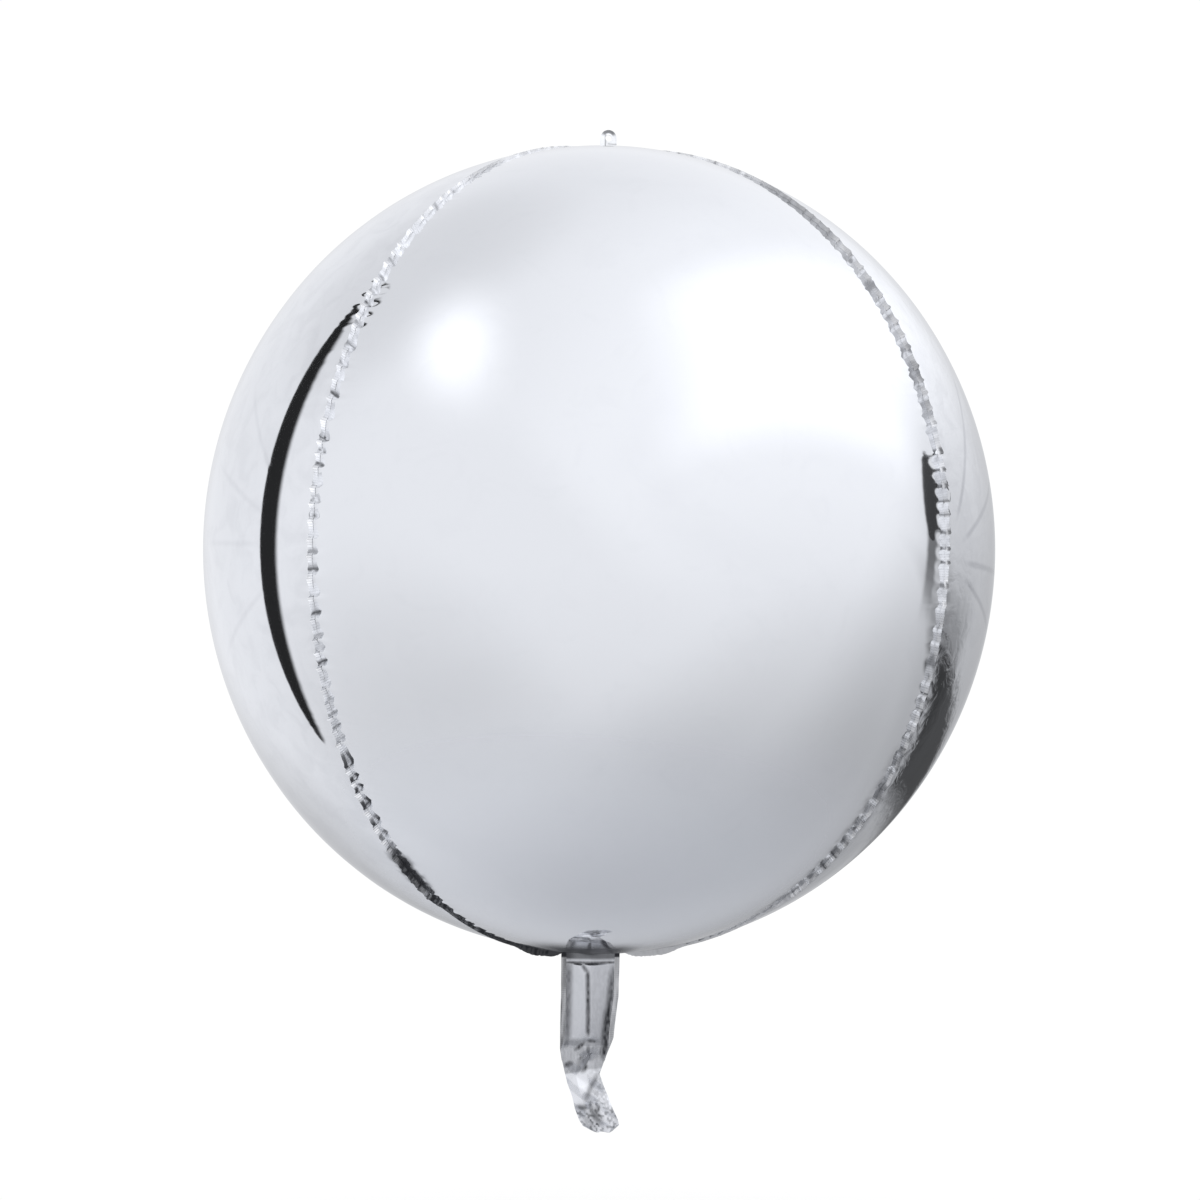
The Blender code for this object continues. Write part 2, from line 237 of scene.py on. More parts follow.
@dataclass(frozen=True)
class FilmFinish:
    """Metallised film: a mirror with faint rub marks, slow ripples and fine crinkles.

    A piece's own "shade", from 0 to 1, is painted shade: the share of a dark rough shader mixed into the
    mirror where small folds would be dark.
    """

    name: str
    bright: tuple = (0.800, 0.812, 0.838)
    dull: tuple = (0.755, 0.768, 0.796)
    shaded: tuple = (0.030, 0.031, 0.035)
    roughness: float = 0.035
    rubbed: float = 0.035
    scuffed: float = 0.12
    ripple: float = 0.00006
    ripple_scale: float = 14.0
    crinkle: float = 0.000004
    crinkle_scale: float = 160.0

    def relief(self, graph: Graph, place: Socket) -> Sock:
        """Height of the film in metres: slow ripples with fine crinkles on them.

        Args:
            graph: the material's nodes.
            place: the point, in metres.
        Returns:
            The height.
        """
        slow = graph.noise(place, self.ripple_scale, detail=1.0) * self.ripple
        fine = graph.noise(place, self.crinkle_scale, detail=3.0, twist=0.6) * self.crinkle
        return slow + fine

    def marks(self, graph: Graph, place: Socket) -> Sock:
        """Share of the dull tone, from 0 to 1: cloudy handling marks.

        Args:
            graph: the material's nodes.
            place: the point, in metres.
        Returns:
            The share.
        """
        cloud = graph.noise(place, scale=9.0, detail=4.0, twist=0.8).over(0.42, 0.72)
        streak = graph.noise(place, scale=55.0, detail=3.0, twist=1.5).over(0.50, 0.78)
        return cloud * 0.45 + streak * 0.25

    def build(self) -> Material:
        """Makes the material.

        Returns:
            A Principled metal whose colour, roughness and normal follow the film, mixed with painted shade by
            the piece's shade.
        """
        material = bpy.data.materials.new(self.name)
        material.use_nodes = True
        graph = Graph(material.node_tree)
        place = graph.add("ShaderNodeTexCoord").outputs["Object"]
        marks = self.marks(graph, place)
        shade = Sock(graph, graph.add("ShaderNodeAttribute", {"attribute_name": "shade"}).outputs["Fac"])
        height = self.relief(graph, place)
        bump = graph.add("ShaderNodeBump", values={"Strength": 1.0, "Distance": 1.0, "Height": height})
        values = {
            "Base Color": graph.tint(marks, self.bright, self.dull),
            "Metallic": 1.0,
            "Roughness": marks * self.rubbed + shade * self.scuffed + self.roughness,
            "Normal": bump.outputs["Normal"],
        }
        mirror = graph.add("ShaderNodeBsdfPrincipled", values=values)
        # Painted shade: a dark rough shader, mixed in by the piece's shade.
        dark = {"Base Color": (*self.shaded, 1.0), "Roughness": 0.7, "Specular IOR Level": 0.1}
        folds = graph.add("ShaderNodeBsdfPrincipled", values=dark)
        mixed = graph.add("ShaderNodeMixShader", values={0: shade, 1: mirror.outputs[0], 2: folds.outputs[0]})
        graph.add("ShaderNodeOutputMaterial", values={"Surface": mixed.outputs[0]})
        return material


@dataclass(frozen=True)
class SideGoreFinish(FilmFinish):
    """Film of a side gore, which was folded in for packing and keeps a fan of faint creases."""

    dull: tuple = (0.60, 0.61, 0.64)
    ball_radius: float = 0.200
    fan_angles: tuple = (0, 21, -30, 44)
    crease_half_width: float = 0.0024
    crease_depth: float = 0.000006
    crease_shade: float = 0.25
    fan_start: float = 0.036
    fan_end: float = 0.120

    def creases(self, graph: Graph, place: Socket) -> Sock:
        """Packing folds, straight on the flat film, which radiate from the middle of each seam.

        On the ball the flat film's width is the azimuth from the nearest seam times the radius.

        Args:
            graph: the material's nodes.
            place: the point, in metres.
        Returns:
            How deep it lies in a crease, from 0 to 1.
        """
        x, y, z = graph.parts(place)
        azimuth = graph.math("ARCTAN2", abs(x), y * -1.0)
        width = (math.pi / 4 - abs(azimuth - QUARTER)) * self.ball_radius
        reach = graph.math("SQRT", width * width + z * z)
        angle = graph.math("ARCTAN2", z, width)
        fade = reach.over(self.fan_start, self.fan_start + 0.015)
        fade = fade * reach.over(self.fan_end, 0.7 * self.fan_end)
        deepest: Value = 0.0
        for degrees in self.fan_angles:
            turned = angle - math.radians(degrees)
            off = abs(graph.math("SINE", turned)) * reach
            ahead = graph.math("COSINE", turned).over(0.0, 0.2)
            line = off.over(self.crease_half_width, 0.0) * ahead
            deepest = graph.math("MAXIMUM", line, deepest)
        return deepest * fade

    def relief(self, graph: Graph, place: Socket) -> Sock:
        """Height of the film in metres: the plain film's, with the creases pressed in."""
        return super().relief(graph, place) - self.creases(graph, place) * self.crease_depth

    def marks(self, graph: Graph, place: Socket) -> Sock:
        """Share of the dull tone: the plain film's, a marbling that is a painted reflection of folds in the
        tent, and painted shade along the creases.

        Args:
            graph: the material's nodes.
            place: the point, in metres.
        Returns:
            The share, from 0 to 1.
        """
        # The marbling is a painted reflection of folds in the tent; the creases add painted shade.
        marble = graph.noise(place, scale=70.0, detail=5.0, twist=0.7).over(0.40, 0.70)
        soft = super().marks(graph, place) * 0.25 + marble * 0.24
        return graph.math("MINIMUM", soft + self.creases(graph, place) * self.crease_shade, 1.0)


@dataclass(frozen=True)
class WeldFinish(FilmFinish):
    """Film pressed together by a heated bar, which leaves fine ribs across the weld."""

    rib_pitch: float = 0.0011
    rib_depth: float = 0.00004

    def relief(self, graph: Graph, place: Socket) -> Sock:
        """Height in metres: the plain film's, with ribs that run across the weld.

        Args:
            graph: the material's nodes.
            place: the point, in metres.
        Returns:
            The height.
        """
        along = graph.add("ShaderNodeUVMap", {"uv_map": "weld"}).outputs[0]
        turns = graph.parts(along)[0] * (2 * math.pi / self.rib_pitch)
        return super().relief(graph, place) + graph.math("SINE", turns) * self.rib_depth


def eased(x: Array, low: float, high: float) -> Array:
    """A smooth step: 0 up to low, 1 from high on, and eased between them."""
    share = np.clip((x - low) / (high - low), 0.0, 1.0)
    return share * share * (3.0 - 2.0 * share)


def between(x: Array, low: float, rise: float, fall: float, high: float) -> Array:
    """1 from the rise to the fall, 0 below the low and above the high value, and eased between them."""
    return eased(x, low, rise) * (1.0 - eased(x, fall, high))


def bell(x: Array, width: Union[Array, float], power: int = 2) -> Array:
    """A bell curve: 1 at zero and 0.37 at the width. A higher power gives it a flatter top."""
    return np.exp(-((x / width) ** power))


def fold_wave(phase: Array, sharpness: float) -> Array:
    """A wave of flat facets: the arcsine of a sine, with corners as sharp as the sharpness, under 1."""
    return np.arcsin(sharpness * np.sin(phase)) / math.asin(sharpness)


def speckle(x: Array, y: Array, pitch: float, seed: int) -> Array:
    """Soft random spots.

    Args:
        x: places along the film, in metres.
        y: places across it.
        pitch: how far apart the spots are.
        seed: chooses among the patterns.
    Returns:
        Chance values from 0 to 1 on a square lattice, blended between its corners.
    """
    lattice = np.random.RandomState(seed).uniform(size=(64, 64))
    u, v = x / pitch, y / pitch
    i, j = np.floor(u).astype(int), np.floor(v).astype(int)
    s, t = eased(u - i, 0.0, 1.0), eased(v - j, 0.0, 1.0)
    i, j, k, m = i % 64, j % 64, (i + 1) % 64, (j + 1) % 64
    near = lattice[i, j] * (1 - s) + lattice[k, j] * s
    far = lattice[i, m] * (1 - s) + lattice[k, m] * s
    return near * (1 - t) + far * t


def grid_faces(rows: int, columns: int, first: int, flip: bool) -> Array:
    """Four-sided faces of a grid.

    Args:
        rows: how many rows of points it has.
        columns: how many points a row has.
        first: number of its first point.
        flip: turns the faces over.
    Returns:
        Point numbers, one face a line. Unflipped, they go down the rows and then along them.
    """
    number = first + np.arange(rows * columns).reshape(rows, columns)
    a, b, c, d = number[:-1, :-1], number[1:, :-1], number[1:, 1:], number[:-1, 1:]
    corners = (d, c, b, a) if flip else (a, b, c, d)
    return np.stack(corners, axis=-1).reshape(-1, 4)


def rim_numbers(rows: int, columns: int) -> Array:
    """Point numbers once round a grid's rim, in the order of its unflipped faces."""
    number = np.arange(rows * columns).reshape(rows, columns)
    return np.concatenate([number[:-1, 0], number[-1, :-1], number[:0:-1, -1], number[0, :0:-1]])


def closed_sheet(name: str, outer: Array, inner: Array, material: Material) -> Piece:
    """A thin closed solid between two grids of points.

    Args:
        name: the piece's name.
        outer: rows by columns by three, whose unflipped faces point out.
        inner: the same for the film's other face.
        material: its finish.
    Returns:
        The piece.
    """
    rows, columns = outer.shape[:2]
    count = rows * columns
    near = rim_numbers(rows, columns)
    far = near + count
    rim = np.stack([np.roll(near, -1), near, far, np.roll(far, -1)], axis=-1)
    faces = np.concatenate([grid_faces(rows, columns, 0, False), grid_faces(rows, columns, count, True), rim])
    points = np.concatenate([outer.reshape(-1, 3), inner.reshape(-1, 3)])
    return piece_from(name, points, faces, material)


def piece_from(name: str, points: Array, faces: Array, material: Material) -> Piece:
    """A piece of the balloon, shaded smooth between its sharp edges.

    Args:
        name: its name.
        points: its points, one a line.
        faces: point numbers of its four-sided faces, one face a line.
        material: its finish.
    Returns:
        The piece, at the origin.
    """
    mesh = bpy.data.meshes.new(name)
    mesh.vertices.add(len(points))
    mesh.vertices.foreach_set("co", points.astype(np.float32).ravel())
    mesh.loops.add(faces.size)
    mesh.loops.foreach_set("vertex_index", faces.astype(np.int32).ravel())
    mesh.polygons.add(len(faces))
    mesh.polygons.foreach_set("loop_start", np.arange(0, faces.size, 4, dtype=np.int32))
    mesh.update(calc_edges=True)
    mesh.validate()
    mesh.shade_smooth()
    mesh.set_sharp_from_angle(angle=math.radians(55))
    mesh.materials.append(material)
    piece = bpy.data.objects.new(name, mesh)
    bpy.context.scene.collection.objects.link(piece)
    return piece


def add_weld_map(piece: Piece, along: Array, across: Array) -> None:
    """Gives a closed sheet the UV map that its ribs follow.

    Args:
        piece: the sheet, of two grids of points.
        along: metres along the weld for each point of a grid.
        across: metres across it.
    """
    places = np.stack(np.broadcast_arrays(along, across), axis=-1).reshape(-1, 2)
    corner_points = np.empty(len(piece.data.loops), dtype=np.int32)
    piece.data.loops.foreach_get("vertex_index", corner_points)
    layer = piece.data.uv_layers.new(name="weld")
    layer.data.foreach_set("uv", np.tile(places, (2, 1))[corner_points].astype(np.float32).ravel())


def add_shade(piece: Piece, shade: Array, copies: int = 2) -> None:
    """Gives a piece its shade.

    Args:
        piece: the piece, of one or more grids of points.
        shade: a value for each point of a grid.
        copies: how many grids there are, which all get the same values.
    """
    values = np.clip(shade, 0.0, 1.0).astype(np.float32).ravel()
    layer = piece.data.attributes.new("shade", "FLOAT", "POINT")
    layer.data.foreach_set("value", np.tile(values, copies))


@dataclass(frozen=True)
class BallShape:
    """The ball's smooth form and the lines on which its seams run."""

    radius: float = 0.200
    pole_height: float = 0.2043
    tab_half_width: float = 0.0042
    neck_half_width: float = 0.0155

    def normal(self, polar: Array, azimuth: Array) -> Array:
        """Outward normal, whose slope follows from the ellipsoid's two radii.

        Args:
            polar: angle from the crown.
            azimuth: angle from the front towards +X.
        Returns:
            Unit vectors.
        """
        out = np.sin(polar) / self.radius
        rise = np.cos(polar) / self.pole_height
        length = np.hypot(out, rise)
        out, rise = out / length, rise / length
        return np.stack([out * np.sin(azimuth), -out * np.cos(azimuth), rise + 0 * azimuth], axis=-1)

    def surface(self, polar: Array, azimuth: Array, lift: Array) -> Array:
        """Points of the ball: an ellipsoid of revolution, moved out along its normal.

        Args:
            polar: angle from the crown.
            azimuth: angle from the front towards +X.
            lift: how far the points are moved out.
        Returns:
            The points.
        """
        across = self.radius * np.sin(polar)
        up = self.pole_height * np.cos(polar) + 0 * azimuth
        plain = np.stack([across * np.sin(azimuth), -across * np.cos(azimuth), up], axis=-1)
        return plain + self.normal(polar, azimuth) * np.asarray(lift)[..., None]

    def seam_azimuth(self, polar: Array) -> Array:
        """Half the front gore's angle: 45 degrees, and near a pole the line at the tab's or neck's edge.

        Args:
            polar: angle from the crown.
        Returns:
            The angle from the front to the seam.
        """
        tip = np.where(polar < QUARTER, self.tab_half_width, self.neck_half_width)
        across = np.maximum(self.radius * np.sin(polar), 1e-6)
        return np.maximum(math.pi / 4, np.arcsin(np.clip(tip / across, 0.0, 1.0)))


@dataclass(frozen=True)
class Pleats:
    """Where the pleats of one welded seam lie, how strong they are and how the painted shade on the seam is
    laid.

    Its stretches of painted grey shade, its stretches of painted dark beads and its crown line are rows of a
    first share of its length, a last share and a level of shade.
    """

    seed: int
    length: float
    pitch: float = 0.0078
    skew: float = 0.70
    sharpness: float = 0.95
    wander: float = 0.45
    # The fields from grey to crown_line set painted shade on the seam and beside it; streaks also lowers the
    # weld.
    grey: float = 0.60
    spots: float = 0.95
    shaded_stretches: tuple = ()
    beads: tuple = ()
    bead_width: float = 0.0
    streaks: float = 0.0
    bunching: float = 0.0
    foot_line: float = 0.30
    crown_line: tuple = ()
    ease: float = 0.02

    def _waves(self, along: Array, first: float, count: int, salt: int) -> Array:
        """A slow random line.

        Args:
            along: places along the seam.
            first: waves of the slowest sine on the whole seam.
            count: how many sines there are, with growing frequency and falling height.
            salt: keeps the seam's lines apart.
        Returns:
            The sum of the sines, at most about 1.
        """
        chance = np.random.RandomState(self.seed * 101 + salt)
        line = np.zeros_like(along)
        for i in range(count):
            turns = first * (i + 1) * chance.uniform(0.8, 1.25)
            line += np.sin(2 * math.pi * (turns * along / self.length + chance.uniform())) / (1 + 0.5 * i)
        return line / count ** 0.5

    def phase(self, along: Array) -> Array:
        """Phase of the pleats: even at their pitch, with a slow wander, and skewed to one side.

        Args:
            along: places along the seam.
        Returns:
            The phase, which grows by a full turn from pleat to pleat.
        """
        even = 2 * math.pi * along / self.pitch
        drift = 2 * math.pi * self.wander * self._waves(along, 7.0, 4, 1)
        plain = even + drift
        return plain + self.skew * np.sin(plain)

    def strength(self, along: Array) -> Array:
        """How strong each pleat is, from about 0.45 to 1.3."""
        return np.clip(0.9 + 0.35 * self._waves(along, 9.0, 5, 2), 0.45, 1.3)

    def lean(self, along: Array) -> Array:
        """How far the weld as a whole leans to one side, from about -1 to 1."""
        return np.clip(self._waves(along, 3.0, 3, 3), -1.0, 1.0)

    def wave(self, along: Array) -> Array:
        """The pleats themselves, from -1 to 1 times their strength."""
        return fold_wave(self.phase(along), self.sharpness) * self.strength(along)

    def _stretch(self, along: Array, stretches: tuple) -> Array:
        """Level of the stretch that a place lies in, eased at both ends.

        Args:
            along: places along the seam.
            stretches: first share, last share and level of each stretch.
        Returns:
            The highest level at each place, and 0 between the stretches.
        """
        share = along / self.length
        level = np.zeros_like(share)
        for first, last, high in stretches:
            inside = between(share, first - self.ease, first + self.ease, last - self.ease, last + self.ease)
            level = np.maximum(level, high * inside)
        return level

    def facets(self, along: Array, rung: Array, height: float) -> Array:
        """Painted shade of the pleats.

        Args:
            along: places along the seam.
            rung: share of the way up the weld.
            height: the weld's full height.
        Returns:
            The darkest of painted grey patches and dark dots, most of them in the folds between two pleats,
            stretches of painted grey shade that leave the crests bright, and dark painted beads on the tips.
        """
        phase = self.phase(along)
        up = rung * height
        valley = np.cos(phase - 1.5 * math.pi)
        fold = np.exp(2.0 * (valley - 1.0))
        patches = eased(speckle(along, up, 0.0028, self.seed), 0.35, 0.85)
        dots = eased(speckle(along, up, 0.0015, self.seed + 20), 0.35, 0.65)
        chance = eased(self._waves(along, 23.0, 4, 5), -0.5, 0.4) * eased(along / self.length, 0.22, 0.32)
        grey = self.grey * patches * (0.35 + 0.65 * fold)
        spot = self.spots * chance * dots * (0.15 + 0.85 * fold)
        crest = eased(np.cos(phase - 0.5 * math.pi), 0.30, 0.80) * bell(rung - 0.6, 0.4, power=4)
        # Painted grey shade over whole stretches, which leaves the crests bright.
        shaded_stretches = self._stretch(along, self.shaded_stretches) * (1.0 - crest * eased(patches, 0.9, 0.3))
        shaded_stretches = shaded_stretches * (0.60 + 0.40 * patches)
        bead = self._stretch(along, self.beads) * eased(valley + self.bead_width, 0.2, 0.7)
        chosen = eased(speckle(along, 0 * along, 0.006, self.seed + 5) + self.bead_width, 0.1, 0.5)
        bead = bead * chosen * eased(rung + 0.6 * self.bead_width, 0.45, 0.75)
        return np.maximum.reduce([grey, spot, shaded_stretches, bead])

    def gather(self, along: Array) -> Array:
        """Painted shade of bunched-up film: how dark a stretch of the lower seam is, before it runs out as a
        plain line.
        """
        return self.bunching * between(along / self.length, 0.722, 0.750, 0.780, 0.802)

    def streaked(self, along: Array) -> Array:
        """How strongly the film beside the seam is streaked with painted shade, on a stretch of the lower
        seam.
        """
        return self.streaks * between(along / self.length, 0.47, 0.56, 0.79, 0.85)

    def plain(self, along: Array) -> Array:
        """Painted shade of the seam where it runs out near the poles as a plain line."""
        foot = self.foot_line * eased(along / self.length, 0.776, 0.796)
        return np.maximum(foot, self._stretch(along, self.crown_line))

    def fine(self, along: Array) -> Array:
        """Small crinkles between the pleats, from -1 to 1."""
        return fold_wave(2.3 * self.phase(along) + 1.3, 0.9) * self._waves(along, 31.0, 3, 4)


@dataclass
class Ball:
    """The four film gores and the four crimped welds between them."""

    shape: BallShape
    pleats: dict[str, Pleats]
    finishes: dict[str, Material]
    rows: int = 640
    columns: int = 54
    edge_step: float = 0.0008
    film: float = 0.0003
    edge_gap: float = 0.00005
    pucker_lift: float = 0.00045
    pucker_reach: float = 0.0026
    wrinkle_lift: float = 0.00005
    wrinkle_reach: float = 0.008
    pinch_reach: float = 0.0009
    seam_pull: float = 0.0006
    pull_reach: float = 0.018
    fillet: float = 0.0002
    weld_proud: float = 0.0024
    weld_least: float = 0.0007
    crown_fade: tuple = (0.065, 0.170)
    foot_fade: tuple = (0.108, 0.124)
    ruffle: tuple = (0.018, 0.030, 0.044, 0.062)
    ruffle_height: float = 0.0024
    weld_root: float = 0.0008
    weld_film: float = 0.00024
    weld_step: float = 0.0006
    weld_swing: float = 0.0008
    weld_lean: float = 0.0003
    weld_tilt: float = 0.0005
    weld_crinkle: float = 0.0003
    weld_bend: float = 1.2
    weld_scallop: float = 0.10
    weld_notch: float = 0.22
    weld_wear: float = 0.35
    weld_taper: float = 0.3
    weld_rungs: int = 8

    def columns_across(self) -> Array:
        """Places of a gore's columns, close together at its seams and growing apart by one factor.

        Returns:
            Shares across the gore from -1 to 1. The factor that fits is found by halving its range.
        """
        half = self.columns // 2
        width = self.shape.radius * math.pi / 4
        low, high = 1.0001, 1.5
        for _ in range(60):
            growth = (low + high) / 2
            total = self.edge_step * (growth ** half - 1) / (growth - 1)
            low, high = (growth, high) if total < width else (low, growth)
        steps = self.edge_step * growth ** np.arange(half)
        reach = np.concatenate([[0.0], np.cumsum(steps)]) / steps.sum()
        return np.concatenate([reach - 1.0, (1.0 - reach[:-1])[::-1]])

    def lift(self, along: Array, from_seam: Array, width: Array, pleats: Pleats, side: int) -> Array:
        """How far the film stands off the smooth ball beside one seam.

        The seam pulls the film in, the pleats pucker it with a strength that falls off exponentially
        away from the weld, and at the weld itself it turns up in a small quarter round.

        Args:
            along: distance down the seam from the crown.
            from_seam: distance from the seam.
            width: half the gore's width there, which limits the puckers near its tips.
            pleats: the seam's pleats.
            side: which side of the seam the film is on, -1 or 1.
        Returns:
            Metres along the normal.
        """
        room = eased(width, 0.004, 0.030)
        slant = along + 0.25 * from_seam * pleats.lean(along)
        pucker = side * self.pucker_lift * pleats.wave(slant) * np.exp(-from_seam / self.pucker_reach)
        wrinkle = self.wrinkle_lift * pleats.fine(slant) * np.exp(-from_seam / self.wrinkle_reach)
        pull = -self.seam_pull * np.exp(-from_seam / self.pull_reach)
        near = np.clip(self.fillet - from_seam, 0.0, self.fillet)
        turn = self.fillet - np.sqrt(self.fillet ** 2 - near ** 2)
        return room * (pucker + wrinkle + pull) + turn * eased(width, 0.0, 0.010)

    def pinch(self, along: Array, from_seam: Array, pleats: Pleats, side: int) -> Array:
        """Painted shade of the film beside a seam.

        Args:
            along: distance down the seam from the crown.
            from_seam: distance from the seam.
            pleats: the seam's pleats.
            side: which side of the seam the film is on, -1 or 1.
        Returns:
            The darkest of painted shade at the pleats' roots, where the film bunches up, along the plain line
            near the poles and in the streaks beside the lower seam.
        """
        gather = pleats.gather(along)
        slant = along + 0.6 * from_seam * pleats.lean(along)
        roots = 0.25 + 0.75 * eased(pleats.wave(slant) + 0.3 * pleats.fine(slant), 0.0, 0.7)
        near = 0.10 * roots * bell(from_seam, self.pinch_reach)
        braid = 0.75 + 0.40 * speckle(along + from_seam, from_seam, 0.0017, 8)
        ragged = 0.0034 + 0.0040 * speckle(along + 0.8 * from_seam, from_seam, 0.0024, 15)
        bunch = gather * braid * bell(from_seam, 0.0004 + ragged * gather, power=4)
        share = along / pleats.length
        spread = 0.0004 + 0.0060 * eased(share, 0.86, 0.93)
        rough = 0.60 + 0.55 * speckle(along, from_seam, 0.0013, 14)
        line = pleats.plain(along) * rough * bell(from_seam, spread)
        fine = 0.55 * speckle(along * 0.3 + from_seam * 0.35, from_seam * 0.7, 0.0022, 12) * (side > 0)
        band = 0.75 * speckle(along * 0.6, from_seam * 0.5, 0.0014, 13) * eased(share, 0.62, 0.68)
        streaks = pleats.streaked(along) * np.maximum(fine, band) * (1.0 - eased(from_seam, 0.003, 0.012))
        return np.maximum.reduce([near * (1.0 - eased(pleats.plain(along), 0.0, 0.2)), bunch, line, streaks])

    def foot_shade(self, polar: Array, azimuth: Array) -> Array:
        """Painted shade round the foot, where the film is gathered towards the neck, most of it on the left.

        Args:
            polar: angle from the crown.
            azimuth: angle from the front towards +X.
        Returns:
            The shade, in streaks that run towards the neck.
        """
        reach = self.shape.radius * np.sin(polar)
        aside = reach * np.sin(azimuth)
        near = (1.0 - eased(reach, 0.066, 0.086)) * (polar > QUARTER)
        near = near * eased(aside, -0.044, -0.024) * (1.0 - 0.75 * eased(aside, 0.006, 0.018))
        streaks = speckle(azimuth * 0.04, reach * 0.15, 0.0028, 9)
        return near * (0.80 + 0.25 * streaks) * (1.0 - eased(aside, 0.030, 0.060))

    def gore(self, where: str, facing: float, left: Pleats, right: Pleats) -> None:
        """Builds one gore as a closed film on a grid of polar angle by share across.

        The front and the back gore go on to the poles, and the side gores taper to points.

        Args:
            where: front, right, back or left.
            facing: azimuth of its middle.
            left: pleats of the seam at its lower azimuth.
            right: pleats of the seam at its higher azimuth.
        """
        shape = self.shape
        wide = where in ("front", "back")
        start = 0.0 if wide else shape.tab_half_width
        end = 0.0 if wide else shape.neck_half_width
        first = math.asin((start + 2 * self.edge_gap) / shape.radius)
        last = math.pi - math.asin((end + 2 * self.edge_gap) / shape.radius)
        polar = np.linspace(first, last, self.rows)[:, None]
        seam = shape.seam_azimuth(polar)
        half = seam if wide else QUARTER - seam
        across = shape.radius * np.sin(polar)
        half = np.maximum(half - np.arcsin(np.clip(self.edge_gap / across, 0.0, 1.0)), 1e-4)
        share = self.columns_across()[None, :]
        azimuth = facing + half * share
        width = across * half
        along = shape.radius * polar
        from_left = width * (1.0 + share)
        from_right = width * (1.0 - share)
        lift = self.lift(along, from_left, width, left, 1) + self.lift(along, from_right, width, right, -1)
        outer = shape.surface(polar, azimuth, lift)
        inner = shape.surface(polar, azimuth, lift - self.film)
        name = f"{where}_gore_film"
        piece = closed_sheet(name, outer, inner, self.finishes["plain" if wide else where])
        shade = np.maximum(self.pinch(along, from_left, left, 1), self.pinch(along, from_right, right, -1))
        shade = np.maximum(shade, self.foot_shade(polar, azimuth))
        add_shade(piece, shade)
        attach(piece, "ball")
        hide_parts(f"gore_{where}")
        LOG.info("%s: %d faces", name, len(piece.data.polygons))

    def weld_height(self, point: Array) -> Array:
        """How far a weld stands out, fading beside the tab and the neck so that they can fold over it.

        Args:
            point: points at the weld's foot.
        Returns:
            The height, eased from the least to the full one over the distance from the axis.
        """
        reach = np.hypot(point[..., 0], point[..., 1])
        share = np.where(point[..., 2] > 0, eased(reach, *self.crown_fade), eased(reach, *self.foot_fade))
        return self.weld_least + (self.weld_proud - self.weld_least) * share

    def weld_shade(self, along: Array, rung: Array, pleats: Pleats) -> Array:
        """Painted shade of a weld: its pleats' own, and darker and braided where the film bunches up or runs
        out.

        Args:
            along: places along the seam.
            rung: share of the way up the weld.
            pleats: the seam's pleats.
        Returns:
            The shade on the weld's grid.
        """
        dark = np.maximum(0.95 * pleats.gather(along), pleats.plain(along))
        braid = 0.80 + 0.35 * speckle(along, rung * self.weld_proud, 0.0013, 11)
        braid = np.maximum(braid, eased(along / pleats.length, 0.85, 0.87))
        return np.maximum(pleats.facets(along, rung, self.weld_proud) * (1.0 - dark), dark * braid)

    def weld(self, name: str, node: str, side: Side, face: Face, pleats: Pleats) -> None:
        """Builds one weld: a strip that stands out along the seam, tilted to the side, with a zigzag tip.

        Its section runs up one side and down the other, and is carried along the seam. The pleats swing
        out with a power of the height, and the lean, tilt and crinkles with the height itself.

        Args:
            name: the piece's name.
            node: the CAD node that it stands for.
            side: left or right.
            face: front or back.
            pleats: the seam's pleats.
        """
        shape = self.shape
        first = math.asin(shape.tab_half_width / shape.radius)
        last = math.pi - math.asin(shape.neck_half_width / shape.radius)
        stations = round((last - first) * shape.radius / self.weld_step)
        polar = np.linspace(first, last, stations)
        azimuth = shape.seam_azimuth(polar)
        azimuth = side.value * (azimuth if face is Face.FRONT else math.pi - azimuth)
        foot = shape.surface(polar, azimuth, np.zeros_like(polar))
        normal = shape.normal(polar, azimuth)
        direction = np.gradient(foot, axis=0)
        direction /= np.linalg.norm(direction, axis=1, keepdims=True)
        across = np.cross(direction, normal)
        aside = np.sign(across[:, 0] * foot[:, 0])
        along = shape.radius * polar
        height = self.weld_height(foot) * (1.0 - self.weld_wear * pleats.streaked(along))
        full = np.maximum(height - self.weld_least, 0.0) / (self.weld_proud - self.weld_least)
        sink = self.seam_pull * full
        notch = 0.5 + 0.5 * np.cos(2 * pleats.phase(along))
        scallop = 1.0 + self.weld_scallop * pleats.fine(along) - self.weld_notch * full * notch
        ruffle = between(np.hypot(foot[:, 0], foot[:, 1]), *self.ruffle) * (foot[:, 2] < 0)
        height = height + self.ruffle_height * ruffle
        rung = np.linspace(0.0, 1.0, self.weld_rungs + 1)[None, :]
        level = -sink[:, None] - self.weld_root + (self.weld_root + height * scallop + sink)[:, None] * rung
        swing = self.weld_swing * pleats.wave(along) * full
        lean = self.weld_lean * pleats.lean(along) + self.weld_tilt * aside
        slant = (lean + self.weld_crinkle * pleats.fine(along)) * full
        shift = swing[:, None] * rung ** self.weld_bend + slant[:, None] * rung
        foot, normal, across = (vectors[:, None, :] for vectors in (foot, normal, across))
        centre = foot + normal * level[..., None] + across * shift[..., None]
        half = across * (self.weld_film / 2) * (1.0 - self.weld_taper * rung[..., None])
        piece = closed_sheet(name, centre + half, centre - half, self.finishes["weld"])
        add_weld_map(piece, along[:, None], level)
        add_shade(piece, self.weld_shade(along[:, None], rung, pleats))
        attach(piece, "ball")
        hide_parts(node)
        LOG.info("%s: %d faces", name, len(piece.data.polygons))

